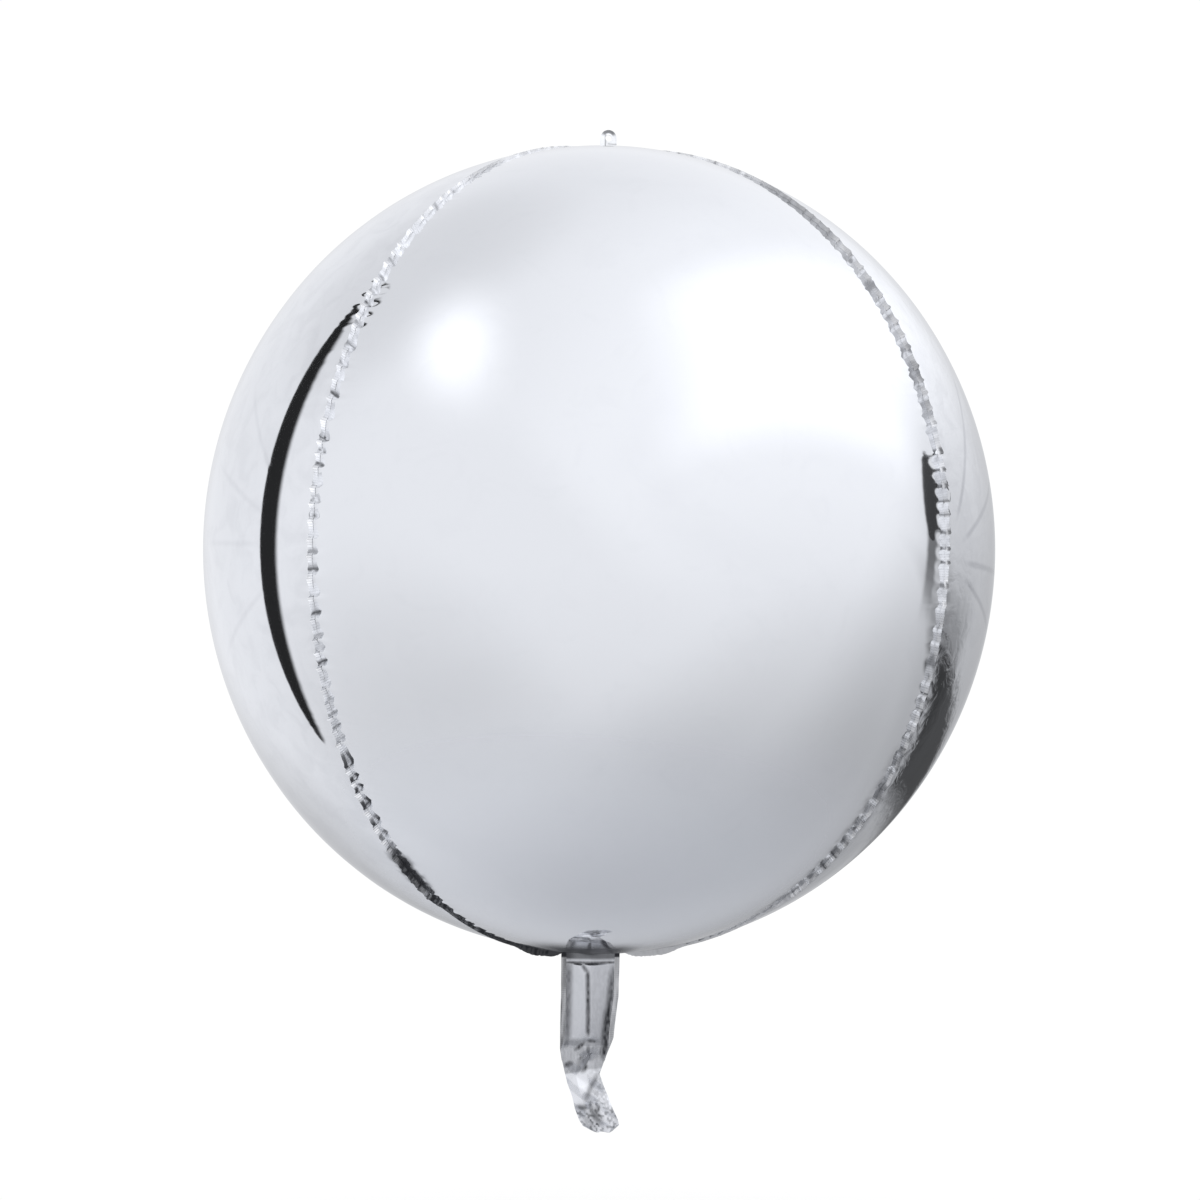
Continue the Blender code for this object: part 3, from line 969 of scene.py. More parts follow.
    def build(self) -> None:
        """Builds the gores and the welds, and dresses the two straight welds at the poles."""
        seams = self.pleats
        self.gore("front", 0.0, seams["front_left"], seams["front_right"])
        self.gore("right", QUARTER, seams["front_right"], seams["back_right"])
        self.gore("back", 2 * QUARTER, seams["back_right"], seams["back_left"])
        self.gore("left", -QUARTER, seams["back_left"], seams["front_left"])
        for face in Face:
            for side in Side:
                place = f"{face.name.lower()}_{side.name.lower()}"
                self.weld(f"{place}_crimped_weld", f"seam_{place}", side, face, seams[place])
        for node in ("crown_weld", "foot_weld"):
            dress(node, self.finishes["plain_weld"])


def dress(node: str, material: Material) -> None:
    """Gives a CAD node that stays in sight a finish.

    Args:
        node: the node's name.
        material: its finish.
    """
    item = frame["nodes"][node]
    item.data.materials.clear()
    item.data.materials.append(material)


@dataclass(frozen=True)
class Crease:
    """A fold line pressed into a flat film, from one place on it to another."""

    x0: float
    drop0: float
    x1: float
    drop1: float
    depth: float
    width: float
    # Painted shade along the fold, from 0 to 1.
    shade: float = 0.6

    def valley(self, x: Array, drop: Array) -> Array:
        """How far into the fold a place lies.

        Args:
            x: the place across the film.
            drop: its distance below the root.
        Returns:
            0 to 1: a bell curve across the line, eased off past its ends.
        """
        run = np.array([self.x1 - self.x0, self.drop1 - self.drop0])
        length = float(np.hypot(*run))
        run = run / length
        along = (x - self.x0) * run[0] + (drop - self.drop0) * run[1]
        off = np.abs((x - self.x0) * run[1] - (drop - self.drop0) * run[0])
        ease = min(2 * self.width, 0.5 * length)
        return bell(off, self.width) * between(along, -ease, ease, length - ease, length + ease)


@dataclass
class Tail:
    """The flat inflation neck and the crumpled end below its crease, in two films welded at the margins."""

    root: float
    crease: float
    finishes: dict[str, Material]
    outline: tuple = (
        (-0.0030, -0.0150, 0.0155),
        (0.0250, -0.0146, 0.0153),
        (0.0336, -0.0147, 0.0143),
        (0.0460, -0.0146, 0.0132),
        (0.0521, -0.0144, 0.0110),
        (0.0583, -0.0134, 0.0085),
        (0.0645, -0.0119, 0.0064),
        (0.0707, -0.0102, 0.0086),
        (0.0769, -0.0078, 0.0113),
        (0.0831, -0.0063, 0.0138),
        (0.0893, -0.0039, 0.0168),
        (0.0923, -0.0018, 0.0176),
        (0.0954, 0.0040, 0.0142),
    )
    margin: float = 0.0026
    margin_end: float = 0.0002
    margin_run: float = 0.008
    margin_wave: float = 0.00022
    margin_wave_pitch: float = 0.0125
    margin_film: float = 0.00010
    film: float = 0.00022
    clearance: float = 0.00008
    puff: float = 0.0034
    first_drop: float = -0.0022
    join: float = 0.0500
    rows_per_mm: float = 2.6
    columns: int = 96
    pleat_depth: float = 0.0022

    def creases(self) -> list[Crease]:
        """Fold lines of the neck and its end.

        Returns:
            The folds, as places across the film and drops below the root.
        """
        return [
            Crease(-0.0045, 0.0073, -0.0013, 0.0120, 0.0004, 0.0012, 0.80),
            Crease(-0.0013, 0.0110, -0.0003, 0.0450, 0.0006, 0.0014, 0.88),
            Crease(0.0125, 0.0080, 0.0092, 0.0540, 0.0003, 0.0034, 0.78),
            Crease(0.0120, 0.0187, 0.0086, 0.0450, 0.0005, 0.0018, 0.95),
            Crease(-0.0112, 0.0060, -0.0114, 0.0540, 0.0003, 0.0026, 0.72),
            Crease(-0.0076, 0.0532, -0.0012, 0.0474, 0.0004, 0.0017, 0.92),
            Crease(-0.0012, 0.0472, 0.0046, 0.0482, 0.0004, 0.0016, 0.88),
            Crease(0.0000, 0.0490, 0.0003, 0.0553, 0.0004, 0.0017, 0.86),
            Crease(-0.0130, 0.0620, -0.0070, 0.0575, 0.0004, 0.0026, 0.88),
            Crease(-0.0070, 0.0575, 0.0000, 0.0550, 0.0004, 0.0020, 0.70),
            Crease(0.0108, 0.0280, 0.0078, 0.0600, 0.0003, 0.0036, 0.92),
            Crease(-0.0030, 0.0640, 0.0004, 0.0604, 0.0003, 0.0018, 0.92),
            Crease(-0.0150, 0.0068, 0.0155, 0.0068, 0.0003, 0.0009, 0.85),
            Crease(0.0052, 0.0640, -0.0004, 0.0785, 0.0005, 0.0017, 0.60),
            Crease(-0.0052, 0.0815, 0.0005, 0.0830, 0.0003, 0.0018, 0.88),
            Crease(0.0015, 0.0820, 0.0075, 0.0915, 0.0003, 0.0028, 0.90),
            Crease(-0.0020, 0.0870, 0.0060, 0.0950, 0.0003, 0.0026, 0.62),
        ]

    def edges(self, drop: Array) -> tuple[Array, Array]:
        """Left and right edge of the film at drops below the root fold."""
        table = np.array(self.outline)
        return np.interp(drop, table[:, 0], table[:, 1]), np.interp(drop, table[:, 0], table[:, 2])

    def margin_width(self, drop: Array) -> Array:
        """Width of each welded margin, which narrows as it runs into the crumpled end."""
        narrow = eased(drop, self.join - 0.006, self.join + 0.004)
        return self.margin + (self.margin_end - self.margin) * narrow

    def swell(self, drop: Array) -> Array:
        """How far gas swells each film.

        Args:
            drop: distance below the root fold.
        Returns:
            Metres outwards: half a sine over the neck's length, made a little fuller.
        """
        length = self.root - self.crease
        share = np.clip(drop / length, 0.0, 1.0)
        return self.puff * np.sin(math.pi * share) ** 0.8

    def crumple(self, share: Array, drop: Array) -> Array:
        """How far the gathered end stands out of its plane: pleats along it, crossed by slanting folds.

        Args:
            share: 0 at the left margin to 1 at the right one.
            drop: distance below the root fold.
        Returns:
            Metres backwards: the sum of three waves of flat facets, which grows from the crease down.
        """
        length = self.root - self.crease
        end = self.outline[-1][0]
        down = np.clip((drop - length + 0.008) / (end - length), 0.0, 1.1)
        start = eased(drop, length - 0.010, length + 0.004)
        pleats = fold_wave(2 * math.pi * (1.6 * share + 0.35 * down) + 0.6, 0.97)
        slant = fold_wave(2 * math.pi * (0.9 * share + 2.1 * down), 0.96)
        steep = fold_wave(2 * math.pi * (-1.3 * share + 3.2 * down) + 1.0, 0.95)
        return start * self.pleat_depth * (0.55 * pleats + 0.45 * slant + 0.22 * steep)

    def film_points(self, face: Face, share: Array, drop: Array, lift: float) -> Array:
        """Points of one film between its margins.

        Args:
            face: front or back.
            share: 0 at the left margin to 1 at the right one.
            drop: distance below the root fold.
            lift: how far outside the film's inner face they lie.
        Returns:
            Points: the swelling is a parabola across the film, less the creases, plus the crumple.
        """
        x = self.film_x(share, drop)
        out = self.swell(drop) * (4 * share * (1 - share)) ** 0.8
        if face is Face.FRONT:
            dent = sum(crease.valley(x, drop) * crease.depth for crease in self.creases())
            out = np.maximum(out - dent * eased(out, 0.0, 0.0012), 0.0)
        y = self.crumple(share, drop) + face.value * (out + lift + self.clearance)
        return np.stack([x, y, self.root - drop], axis=-1)

    def film_x(self, share: Array, drop: Array) -> Array:
        """Where places on a film lie, between the inner edges of its margins.

        Args:
            share: 0 at the left margin to 1 at the right one.
            drop: distance below the root fold.
        Returns:
            Metres across from the middle.
        """
        left, right = self.edges(drop)
        inset = self.margin_width(drop)
        return left + inset + (right - left - 2 * inset) * share

    def film_shade(self, share: Array, drop: Array) -> Array:
        """Painted shade of the films.

        Args:
            share: 0 at the left margin to 1 at the right one.
            drop: distance below the root fold.
        Returns:
            Dark across the root and along the creases, grey between them, and spotted at the gathered end.
        """
        x = self.film_x(share, drop)
        lines = [crease.valley(x, drop) * crease.shade for crease in self.creases()]
        root = (0.74 + 0.18 * (1.0 - eased(x, -0.012, -0.006))) * (1.0 - eased(drop, 0.0042, 0.0058))
        end = eased(drop, 0.0600, 0.0660)
        folded = eased(drop, 0.0440, 0.0480) * (1.0 - eased(drop + 0.18 * x, 0.0625, 0.0640))
        panel = (0.14 + 0.17 * eased(x, -0.001, 0.002)) * (1.0 - end) + 0.10 * end
        panel = np.maximum(panel, 0.50 * folded)
        tip = eased(drop, 0.0780, 0.0860) * (1.0 - 0.6 * eased(x, 0.006, 0.009))
        spotted = 0.25 * end * eased(x, 0.0, 0.003) + 0.55 * tip
        spots = eased(speckle(x, drop, 0.0011, 5), 0.35, 0.80) * spotted
        rough = 0.85 + 0.30 * speckle(x, drop * 0.4, 0.0008, 6)
        return np.maximum.reduce([*lines, panel + spots]) * rough * (1.0 - root) + root

    def film_piece(self, name: str, face: Face, first: float, last: float, finish: Material) -> Piece:
        """Builds one film as a closed sheet.

        Args:
            name: the piece's name.
            face: front or back.
            first: where it starts below the root fold.
            last: where it ends.
            finish: its material.
        Returns:
            The piece.
        """
        rows = round((last - first) * 1000 * self.rows_per_mm) + 1
        drop = np.linspace(first, last, rows)[:, None]
        share = (0.5 - 0.5 * np.cos(np.linspace(0.0, math.pi, self.columns + 1)))[None, :]
        drop, share = np.broadcast_arrays(drop, share)
        if face is Face.BACK:
            share = share[:, ::-1]
        outer = self.film_points(face, share, drop, self.film)
        inner = self.film_points(face, share, drop, 0.0)
        piece = closed_sheet(name, outer, inner, finish)
        add_shade(piece, self.film_shade(share, drop))
        return piece

    def margin_piece(self, name: str, side: Side, finish: Material) -> Piece:
        """Builds one welded margin: a narrow flat strip along the neck's edge, waved at its rim.

        Args:
            name: the piece's name.
            side: left or right.
            finish: its material.
        Returns:
            The piece.
        """
        last = self.join + self.margin_run
        rows = round((last - self.first_drop) * 1000 * self.rows_per_mm) + 1
        drop = np.linspace(self.first_drop, last, rows)[:, None]
        left, right = self.edges(drop)
        width = self.margin_width(drop)
        share = np.linspace(0.0, 1.0, 7)[None, :]
        x = left + width * share if side is Side.LEFT else right - width * (1 - share)
        outward = 1 - share if side is Side.LEFT else share
        wave = self.margin_wave * np.sin(drop * 2 * math.pi / self.margin_wave_pitch) * outward
        centre = wave + self.crumple(np.array(0.0 if side is Side.LEFT else 1.0), drop)
        half = self.film + self.margin_film
        z = self.root - drop + 0 * share
        front = np.stack([x, centre - half, z], axis=-1)
        back = np.stack([x, centre + half, z], axis=-1)
        piece = closed_sheet(name, front, back, finish)
        add_weld_map(piece, drop, x)
        # Painted shade: dark across the root and in streaks along the margin.
        root = 1.0 - eased(drop, 0.0038, 0.0050)
        streak = 0.6 + 0.4 * speckle(x, drop * 0.15, 0.0009, 7)
        add_shade(piece, np.maximum(root, (0.90 if side is Side.LEFT else 0.70) * streak))
        return piece

    def build(self) -> None:
        """Builds the neck's films and margins, and the films of the crumpled end."""
        end = self.outline[-1][0]
        neck = self.finishes["neck"]
        for face in Face:
            where = face.name.lower()
            piece = self.film_piece(f"{where}_neck_film", face, self.first_drop, self.join, neck)
            self.fasten(piece, f"neck_{where}_film")
            piece = self.film_piece(f"{where}_tail_film", face, self.join, end, self.finishes["tail"])
            self.fasten(piece, f"tail_end_{where}_film")
        for side in Side:
            where = side.name.lower()
            piece = self.margin_piece(f"{where}_neck_margin_weld", side, self.finishes["weld"])
            self.fasten(piece, f"neck_{where}_margin")

    def fasten(self, piece: Piece, node: str) -> None:
        """Bakes a piece's place into its points, and hides the CAD node that it stands for.

        Args:
            piece: the piece.
            node: its CAD node.
        """
        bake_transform(piece)
        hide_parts(node)
        LOG.info("%s: %d faces", piece.name, len(piece.data.polygons))


@dataclass
class HangTab:
    """The round-topped tab on the crown, of two films welded round an eyelet."""

    fold: float
    finishes: dict[str, Material]
    half_width: float = 0.0042
    height: float = 0.0107
    foot: float = -0.0004
    hole_radius: float = 0.0017
    film: float = 0.0007
    bead: float = 0.00035
    bead_reach: float = 0.0006
    bow: float = 0.0005
    steps: int = 96
    rings: int = 16

    def outline(self, angle: Array) -> Array:
        """Outline of the tab: a round top, straight sides and a level foot.

        Args:
            angle: direction from the eyelet's centre.
        Returns:
            Distance to the tab's edge.
        """
        down = self.height - self.half_width - self.foot
        sides = self.half_width / np.maximum(np.abs(np.cos(angle)), 1e-6)
        floor = down / np.maximum(-np.sin(angle), 1e-6)
        return np.where(np.sin(angle) >= 0, self.half_width, np.minimum(sides, floor))

    def build(self) -> None:
        """Builds the tab on a grid of angle by distance from the eyelet.

        Its thickness swells to a bead round the eyelet and along the outline, and the stem bows a little.
        """
        centre = self.fold + self.height - self.half_width
        corner = math.atan2(-(self.height - self.half_width - self.foot), self.half_width)
        marks = [0.0, math.pi, math.pi - corner, 2 * math.pi + corner, 2 * math.pi]
        runs = [np.linspace(a, b, self.steps // 4, endpoint=False) for a, b in zip(marks, marks[1:])]
        angle = np.concatenate(runs + [[2 * math.pi]])[:, None]
        share = np.linspace(0.0, 1.0, self.rings + 1)[None, :]
        reach = self.hole_radius + (self.outline(angle) - self.hole_radius) * share
        x = reach * np.cos(angle)
        z = centre + reach * np.sin(angle)
        hole = bell(reach - self.hole_radius, self.bead_reach)
        bead = self.bead * (hole + bell(self.outline(angle) - reach, self.bead_reach))
        half = self.film / 2 + bead / 2 * eased(z - self.fold, 0.0005, 0.002)
        bow = self.bow * np.sin((z - self.fold) / self.height * math.pi) * np.sin(x / self.half_width * 2.0)
        piece = closed_ring_sheet("hang_tab_film", x, z, bow - half, bow + half, self.finishes["tab"])
        # Painted shade: a dark rim across the top, a line down the stem and a short bar.
        top = eased(np.sin(angle), 0.25, 0.80) * eased(share, 0.15, 0.50)
        stem = bell(x + 0.0016, 0.0004) * 0.55
        bar = bell(z - self.fold - 0.0036, 0.0004) * eased(x, -0.001, 0.0) * 0.45
        shade = np.maximum.reduce([0.75 * top, stem, bar])
        add_shade(piece, np.concatenate([shade, shade[:, ::-1]], axis=1)[:-1], 1)
        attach(piece, "hang_tab")
        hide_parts("hang_tab")
        LOG.info("%s: %d faces", piece.name, len(piece.data.polygons))


def closed_ring_sheet(name: str, x: Array, z: Array, front: Array, back: Array, material: Material) -> Piece:
    """A plate round a hole, from a grid of angle by distance whose last row meets the first.

    Args:
        name: the piece's name.
        x: where the points lie across.
        z: their height.
        front: Y of the front face.
        back: Y of the back face.
        material: its finish.
    Returns:
        The piece.
    """
    loop = np.concatenate([np.stack([x, front, z], -1), np.stack([x, back, z], -1)[:, ::-1]], axis=1)[:-1]
    rows, columns = loop.shape[:2]
    number = np.arange(rows * columns).reshape(rows, columns)
    after = np.roll(number, -1, axis=0)
    beside = np.roll(number, -1, axis=1)
    both = np.roll(after, -1, axis=1)
    faces = np.stack([number, beside, both, after], axis=-1).reshape(-1, 4)
    return piece_from(name, loop.reshape(-1, 3), faces, material)


@dataclass(frozen=True)
class View:
    """How a direction in the studio lies to another one, as a light or a dark thing is placed there."""

    across: Sock
    up: Sock
    facing: Sock

    @classmethod
    def of(cls, graph: Graph, direction: Socket, azimuth: float, elevation: float, turn: float = 0.0) -> View:
        """Looks towards an azimuth and an elevation, with the view turned by an angle, all in degrees.

        Args:
            graph: the node tree.
            direction: the direction that is asked about.
            azimuth: from the front towards +X.
            elevation: above the horizon.
            turn: how far the view's sides are turned about its middle.
        Returns:
            Sines of the angles across and up from the middle, and the cosine of the angle to it.
        """
        a, e, t = (math.radians(angle) for angle in (azimuth, elevation, turn))
        facing = Vector((math.cos(e) * math.sin(a), -math.cos(e) * math.cos(a), math.sin(e)))
        across = Vector((0.0, 0.0, 1.0)).cross(facing).normalized()
        up = facing.cross(across)
        sides = (across * math.cos(t) + up * math.sin(t), up * math.cos(t) - across * math.sin(t))
        return cls(*(graph.dot(direction, tuple(side)) for side in (*sides, facing)))

    def lobe(self, inner: float, outer: float) -> Sock:
        """1 within the inner angle of the middle and 0 outside the outer one, in degrees."""
        return self.facing.over(math.cos(math.radians(outer)), math.cos(math.radians(inner)))

    def reach(self, half_across: float, half_up: float, power: float = 2.0, lean: float = 0.0) -> Sock:
        """Distance from the middle, as a share of a rounded box.

        Args:
            half_across: half the box's width.
            half_up: half its height.
            power: 2 makes it round, and more makes it squarer.
            lean: how far its sides lean across for each step up.
        Returns:
            0 in the middle and 1 at the box's edge.
        """
        total = (abs(self.across - self.up * lean) / half_across) ** power + (abs(self.up) / half_up) ** power
        return total ** (1.0 / power)


@dataclass
class Studio:
    """A white light tent round the balloon, a pale floor below it and the camera in front."""

    camera_azimuth: float = -6.4
    camera_distance: float = 1.0
    camera_roll: float = 1.3
    aim_drop: float = 0.0249
    aim_right: float = 0.0010
    lens: float = 58.2
    floor_drop: float = 0.62
    floor_radius: float = 1.05
    floor_corners: int = 96
    # The right-hand colour and the colour under the ball are painted shadow on the floor.
    floor_left: tuple = (0.80, 0.81, 0.83)
    floor_right: tuple = (0.56, 0.57, 0.59)
    floor_shadow: tuple = (0.25, 0.25, 0.26)
    shadow_reach: float = 0.45
    shadow_share: float = 0.25
    tent_white: tuple = (0.970, 0.980, 1.010)
    backdrop: float = 1.02
    round_glow: float = 0.42
    broad_glow: float = 0.30
    skirt_glow: float = 0.13
    flag_loss: float = 0.84
    dusk_loss: float = 0.45
    strip_loss: float = 0.16
    gap_loss: float = 0.975
    lens_loss: float = 0.93
    post_loss: float = 0.75
    tent_levels: tuple = (
        (0.0, 0.67), (0.05, 0.77), (0.15, 0.87), (0.29, 0.945),
        (0.46, 1.0), (0.63, 1.01), (0.79, 1.02), (0.91, 1.02),
    )
    shaded_places: tuple = (
        (125.0, -30.0, 10.0, 60.0, 0.30),
        (80.0, -55.0, 8.0, 60.0, 0.20),
        (165.0, -12.0, 10.0, 45.0, 0.22),
        (-121.0, 52.0, 4.0, 34.0, 0.11),
        (-150.0, 40.0, 15.0, 60.0, 0.06),
        (-172.0, -38.0, 6.0, 34.0, 0.30),
        (-72.0, -42.0, 0.0, 50.0, 0.11),
    )

    def sides(self) -> tuple[Vector, Vector]:
        """The camera's directions.

        Returns:
            Unit vectors from the ball to the camera, and to the camera's right.
        """
        angle = math.radians(self.camera_azimuth)
        toward = Vector((math.sin(angle), -math.cos(angle), 0.0))
        return toward, Vector((-toward.y, toward.x, 0.0))

    def build_camera(self) -> None:
        """Places the camera at the photo's angle, level with the ball, and makes it the scene's."""
        data = bpy.data.cameras.new("camera")
        data.lens = self.lens
        data.clip_end = 50.0
        camera = bpy.data.objects.new("camera", data)
        bpy.context.scene.collection.objects.link(camera)
        toward, right = self.sides()
        place = toward * self.camera_distance
        aim = right * self.aim_right - Vector((0.0, 0.0, self.aim_drop))
        turn = (aim - place).to_track_quat("-Z", "Y").to_matrix().to_4x4()
        roll = Matrix.Rotation(math.radians(self.camera_roll), 4, "Z")
        camera.matrix_world = Matrix.Translation(place) @ turn @ roll
        bpy.context.scene.camera = camera

    def tent(self, graph: Graph, direction: Socket) -> Sock:
        """Light of the tent from a direction.

        The tent is a little brighter above and darker below. A round and a broad soft box stand above it,
        left and right. The rest takes light away: softly shaded places, a dark flag low on the right, the
        open edge of the tent on the left, and a lens on its post on the right.

        Args:
            graph: the world's nodes.
            direction: the direction that is asked about.
        Returns:
            How bright it is there, where 1 is the white of the tent.
        """
        toward, right = self.sides()
        beside = graph.dot(direction, tuple(right))
        height = graph.parts(direction)[2]
        away = graph.math("ARCCOSINE", graph.dot(direction, tuple(toward))) * (180.0 / math.pi)
        ramp = graph.add("ShaderNodeValToRGB", {"stops": self.tent_levels}, {0: (height + 1.0) * 0.5})
        light = Sock(graph, ramp.outputs[0]) + self.round_box(graph, direction)
        light = light + self.broad_box(graph, direction)
        for azimuth, elevation, inner, outer, loss in self.shaded_places:
            light = light * (1.0 - View.of(graph, direction, azimuth, elevation).lobe(inner, outer) * loss)
        light = light * self.flag(graph, direction)
        light = light * (1.0 - self.gap(graph, away, height, beside))
        return light * (1.0 - self.post(graph, away, height, beside))

    def round_box(self, graph: Graph, direction: Socket) -> Sock:
        """A soft box at the upper left, brightest in its middle and shaped to look round on the ball.

        Args:
            graph: the world's nodes.
            direction: the direction that is asked about.
        Returns:
            The light that it adds.
        """
        view = View.of(graph, direction, azimuth=-66.5, elevation=48.9, turn=-36.0)
        glow = view.reach(half_across=0.58, half_up=0.36).over(1.0, 0.0)
        return glow * glow * view.facing.over(0.0, 0.2) * self.round_glow

    def broad_box(self, graph: Graph, direction: Socket) -> Sock:
        """A broad soft box at the upper right, evenly bright, with a wide faint skirt.

        Args:
            graph: the world's nodes.
            direction: the direction that is asked about.
        Returns:
            The light that it adds.
        """
        view = View.of(graph, direction, azimuth=78.0, elevation=46.0, turn=-25.0)
        box = view.reach(half_across=0.52, half_up=0.32, power=5.0, lean=0.4).over(1.50, 0.62)
        skirt = view.reach(half_across=1.25, half_up=0.85, power=2.0, lean=0.4).over(1.15, 0.40)
        return (box * self.broad_glow + skirt * self.skirt_glow) * view.facing.over(0.0, 0.3)

    def flag(self, graph: Graph, direction: Socket) -> Sock:
        """What a dark flag low on the right leaves of the light.

        Args:
            graph: the world's nodes.
            direction: the direction that is asked about.
        Returns:
            1 where nothing is lost. The flag is a dark corner between two slanting edges, with dusk above it
            and a bowed strip of soft shade round it.
        """
        view = View.of(graph, direction, azimuth=130.0, elevation=-18.0)
        lower_edge = view.up - view.across * 0.45 + 0.19
        side_edge = view.up + view.across * 0.75 + 0.21
        corner = lower_edge.over(-0.05, 0.06) * side_edge.over(-0.05, 0.07) * view.facing.over(0.5, 0.7)
        dark = corner * view.up.over(0.12, 0.05) * self.flag_loss
        dusk = corner * view.up.over(0.32, 0.12) * view.across.over(0.05, -0.18) * self.dusk_loss
        bow = view.across - 0.12
        off = view.up - bow * bow * 0.9 + 0.15
        strip = off.over(-0.34, -0.05) * off.over(0.80, 0.30)
        strip = strip * view.across.over(-0.62, -0.30) * view.across.over(0.60, 0.35)
        strip = strip * view.facing.over(0.3, 0.6) * self.strip_loss
        return (1.0 - dark) * (1.0 - dusk) * (1.0 - strip)

    @staticmethod
    def oval(graph: Graph, height: Sock, middle: float, half_height: float, half_width: float) -> Sock:
        """Half the width of an upright oval at a height: the half chord of a circle, stretched."""
        share = (height - middle) * (1 / half_height)
        return graph.math("SQRT", graph.math("MAXIMUM", 1.0 - share * share, 0.0)) * half_width

    def gap(self, graph: Graph, away: Sock, height: Sock, beside: Sock) -> Sock:
        """What the tent's open edge on the left takes: a black crescent, sharp outside and soft inside.

        Args:
            graph: the world's nodes.
            away: angle from the camera's direction, in degrees.
            height: sine of the angle above the horizon.
            beside: how far to the camera's right the direction lies, from -1 to 1.
        Returns:
            Share of the light that is missing.
        """
        middle = height * height * 2.0 + height * 1.9 + 104.2
        half = self.oval(graph, height, middle=0.07, half_height=0.65, half_width=4.9)
        off = away - middle
        inside = (half - off).over(0.05, 0.65) * (half + off).over(-0.6, 2.0) * half.over(0.0, 1.5)
        return inside * beside.over(0.0, -0.1) * self.gap_loss

    def post(self, graph: Graph, away: Sock, height: Sock, beside: Sock) -> Sock:
        """What a dark lens on the right and the fainter post below it take.

        Args:
            graph: the world's nodes.
            away: angle from the camera's direction, in degrees.
            height: sine of the angle above the horizon.
            beside: how far to the camera's right the direction lies, from -1 to 1.
        Returns:
            Share of the light that is missing.
        """
        off = abs(away - height * 9.0 - 107.8)
        half = self.oval(graph, height, middle=0.165, half_height=0.12, half_width=4.8)
        lens = (half - off).over(-0.1, 1.3) * half.over(0.0, 1.5) * self.lens_loss
        post = off.over(4.0, 1.5) * height.over(-0.20, 0.02) * height.over(0.20, 0.12) * self.post_loss
        return graph.math("MAXIMUM", lens, post) * beside.over(0.0, 0.1)

    def build_light(self) -> None:
        """Makes the world: the tent for reflections and shading, and plain white seen directly."""
        world = bpy.data.worlds.new("studio")
        bpy.context.scene.world = world
        world.use_nodes = True
        graph = Graph(world.node_tree)
        direction = graph.add("ShaderNodeTexCoord").outputs["Generated"]
        light = self.tent(graph, direction)
        tent = graph.add("ShaderNodeBackground", values={"Color": (*self.tent_white, 1.0), "Strength": light})
        white = {"Color": (1.0, 1.0, 1.0, 1.0), "Strength": self.backdrop}
        plain = graph.add("ShaderNodeBackground", values=white)
        seen = graph.add("ShaderNodeLightPath").outputs["Is Camera Ray"]
        mixed = graph.add("ShaderNodeMixShader", values={0: seen, 1: tent.outputs[0], 2: plain.outputs[0]})
        graph.add("ShaderNodeOutputWorld", values={"Surface": mixed.outputs[0]})
        bpy.context.scene.view_settings.view_transform = "Standard"
        bpy.context.scene.view_settings.look = "None"

    def build_floor(self) -> None:
        """Lays a pale round floor that fades out into the white tent, with painted shadow: greyer to the
        right and darker under the ball.
        """
        angle = np.linspace(0.0, 2 * math.pi, self.floor_corners, endpoint=False)
        level = 0 * angle - self.floor_drop / self.floor_radius
        ring = np.stack([np.cos(angle), np.sin(angle), level], axis=-1) * self.floor_radius
        mesh = bpy.data.meshes.new("floor")
        mesh.from_pydata(ring.tolist(), [], [list(range(self.floor_corners))])
        floor = bpy.data.objects.new("floor", mesh)
        bpy.context.scene.collection.objects.link(floor)
        material = bpy.data.materials.new("pale_floor")
        material.use_nodes = True
        graph = Graph(material.node_tree)
        place = graph.add("ShaderNodeTexCoord").outputs["Object"]
        x, y, _ = graph.parts(place)
        reach = graph.math("SQRT", x * x + y * y)
        # Painted shadow: the floor greys to the right and darkens under the ball.
        sides = graph.tint(x.over(-0.5, 0.5), self.floor_left, self.floor_right)
        under = reach.over(self.shadow_reach, 0.0) * self.shadow_share
        values = {
            "Base Color": graph.tint(under, sides, self.floor_shadow),
            "Roughness": 0.9,
            "Alpha": reach.over(self.floor_radius * 0.98, 0.0),
        }
        shader = graph.add("ShaderNodeBsdfPrincipled", values=values)
        graph.add("ShaderNodeOutputMaterial", values={"Surface": shader.outputs[0]})
        mesh.materials.append(material)


def fold_height(joint: str) -> float:
    """Height of a fold's axis, from the frame."""
    found = next(row for row in frame["joints"] if row["name"] == joint)
    return float(found["pos_m"][2])


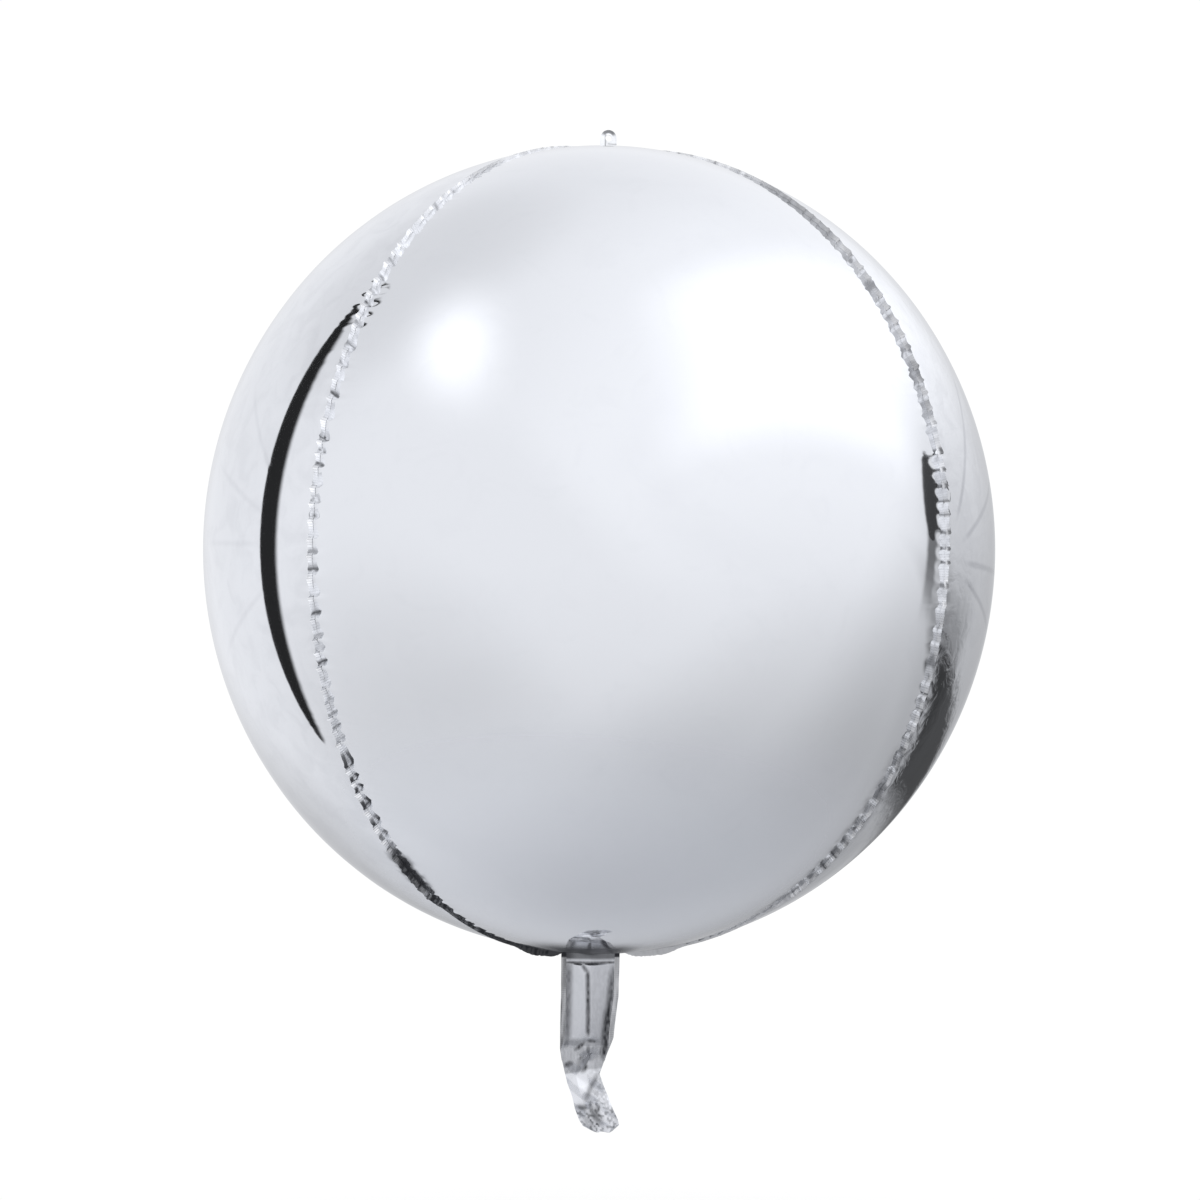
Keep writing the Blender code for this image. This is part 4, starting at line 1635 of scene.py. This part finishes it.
def seam_pleats(length: float) -> dict[str, Pleats]:
    """Pleats of the four seams, of which the front two are shaded as the photo shows them.

    Args:
        length: length of a seam from pole to pole.
    Returns:
        The pleats by the seam's name.
    """
    names = ("front_left", "front_right", "back_right", "back_left")
    pleats = {name: Pleats(i + 3, length) for i, name in enumerate(names)}
    pleats["front_left"] = replace(
        pleats["front_left"], shaded_stretches=((0.08, 0.26, 0.35),), crown_line=((0.13, 0.18, 0.45),), bunching=1.0,
        foot_line=0.95, beads=((0.64, 0.73, 0.95),), bead_width=0.35,
    )
    pleats["front_right"] = replace(
        pleats["front_right"], shaded_stretches=((0.12, 0.40, 0.62), (0.54, 0.84, 0.75)),
        crown_line=((0.15, 0.25, 0.55),), foot_line=0.50, beads=((0.40, 0.53, 0.80),), streaks=0.9,
    )
    return pleats


def film_materials() -> dict[str, Material]:
    """Makes the balloon's finishes. The right gore's film is more crumpled than the left one's.

    Returns:
        The materials by their use.
    """
    # The neck's film is a darker copy of the mirror film, painted shade; the crimped weld, the tab and the
    # crumpled end are lighter copies, painted highlight.
    finishes = {
        "plain": FilmFinish("mirror_film"),
        "left": SideGoreFinish("left_creased_film"),
        "right": SideGoreFinish(
            "right_creased_film", fan_angles=(-4, 25, -23, 56), crease_depth=0.000018, crease_shade=1.0,
            fan_start=0.018, crinkle=0.0002, crinkle_scale=130.0,
        ),
        "weld": WeldFinish("crimped_weld", (0.95, 0.955, 0.97), (0.80, 0.81, 0.84), roughness=0.22),
        "plain_weld": FilmFinish("pressed_weld", bright=(0.72, 0.73, 0.76), roughness=0.16),
        "tab": FilmFinish("tab_film", bright=(0.93, 0.94, 0.955), roughness=0.10),
        "neck": FilmFinish("neck_film", (0.64, 0.65, 0.68), (0.54, 0.55, 0.58), roughness=0.06),
        "tail": FilmFinish("crumpled_film", (0.84, 0.85, 0.88), (0.70, 0.71, 0.74), roughness=0.05),
    }
    return {use: finish.build() for use, finish in finishes.items()}


def main() -> None:
    """Builds the studio and the balloon's sub-assemblies in order."""
    logging.basicConfig(level=logging.INFO, format="%(name)s: %(message)s")
    studio = Studio()
    studio.build_camera()
    studio.build_light()
    studio.build_floor()
    shape = BallShape()
    films = film_materials()
    Ball(shape, seam_pleats(shape.radius * math.pi), films).build()
    Tail(fold_height("neck_fold"), fold_height("tail_end_fold"), films).build()
    HangTab(fold_height("hang_tab_fold"), films).build()


if __name__ == "__main__":
    main()
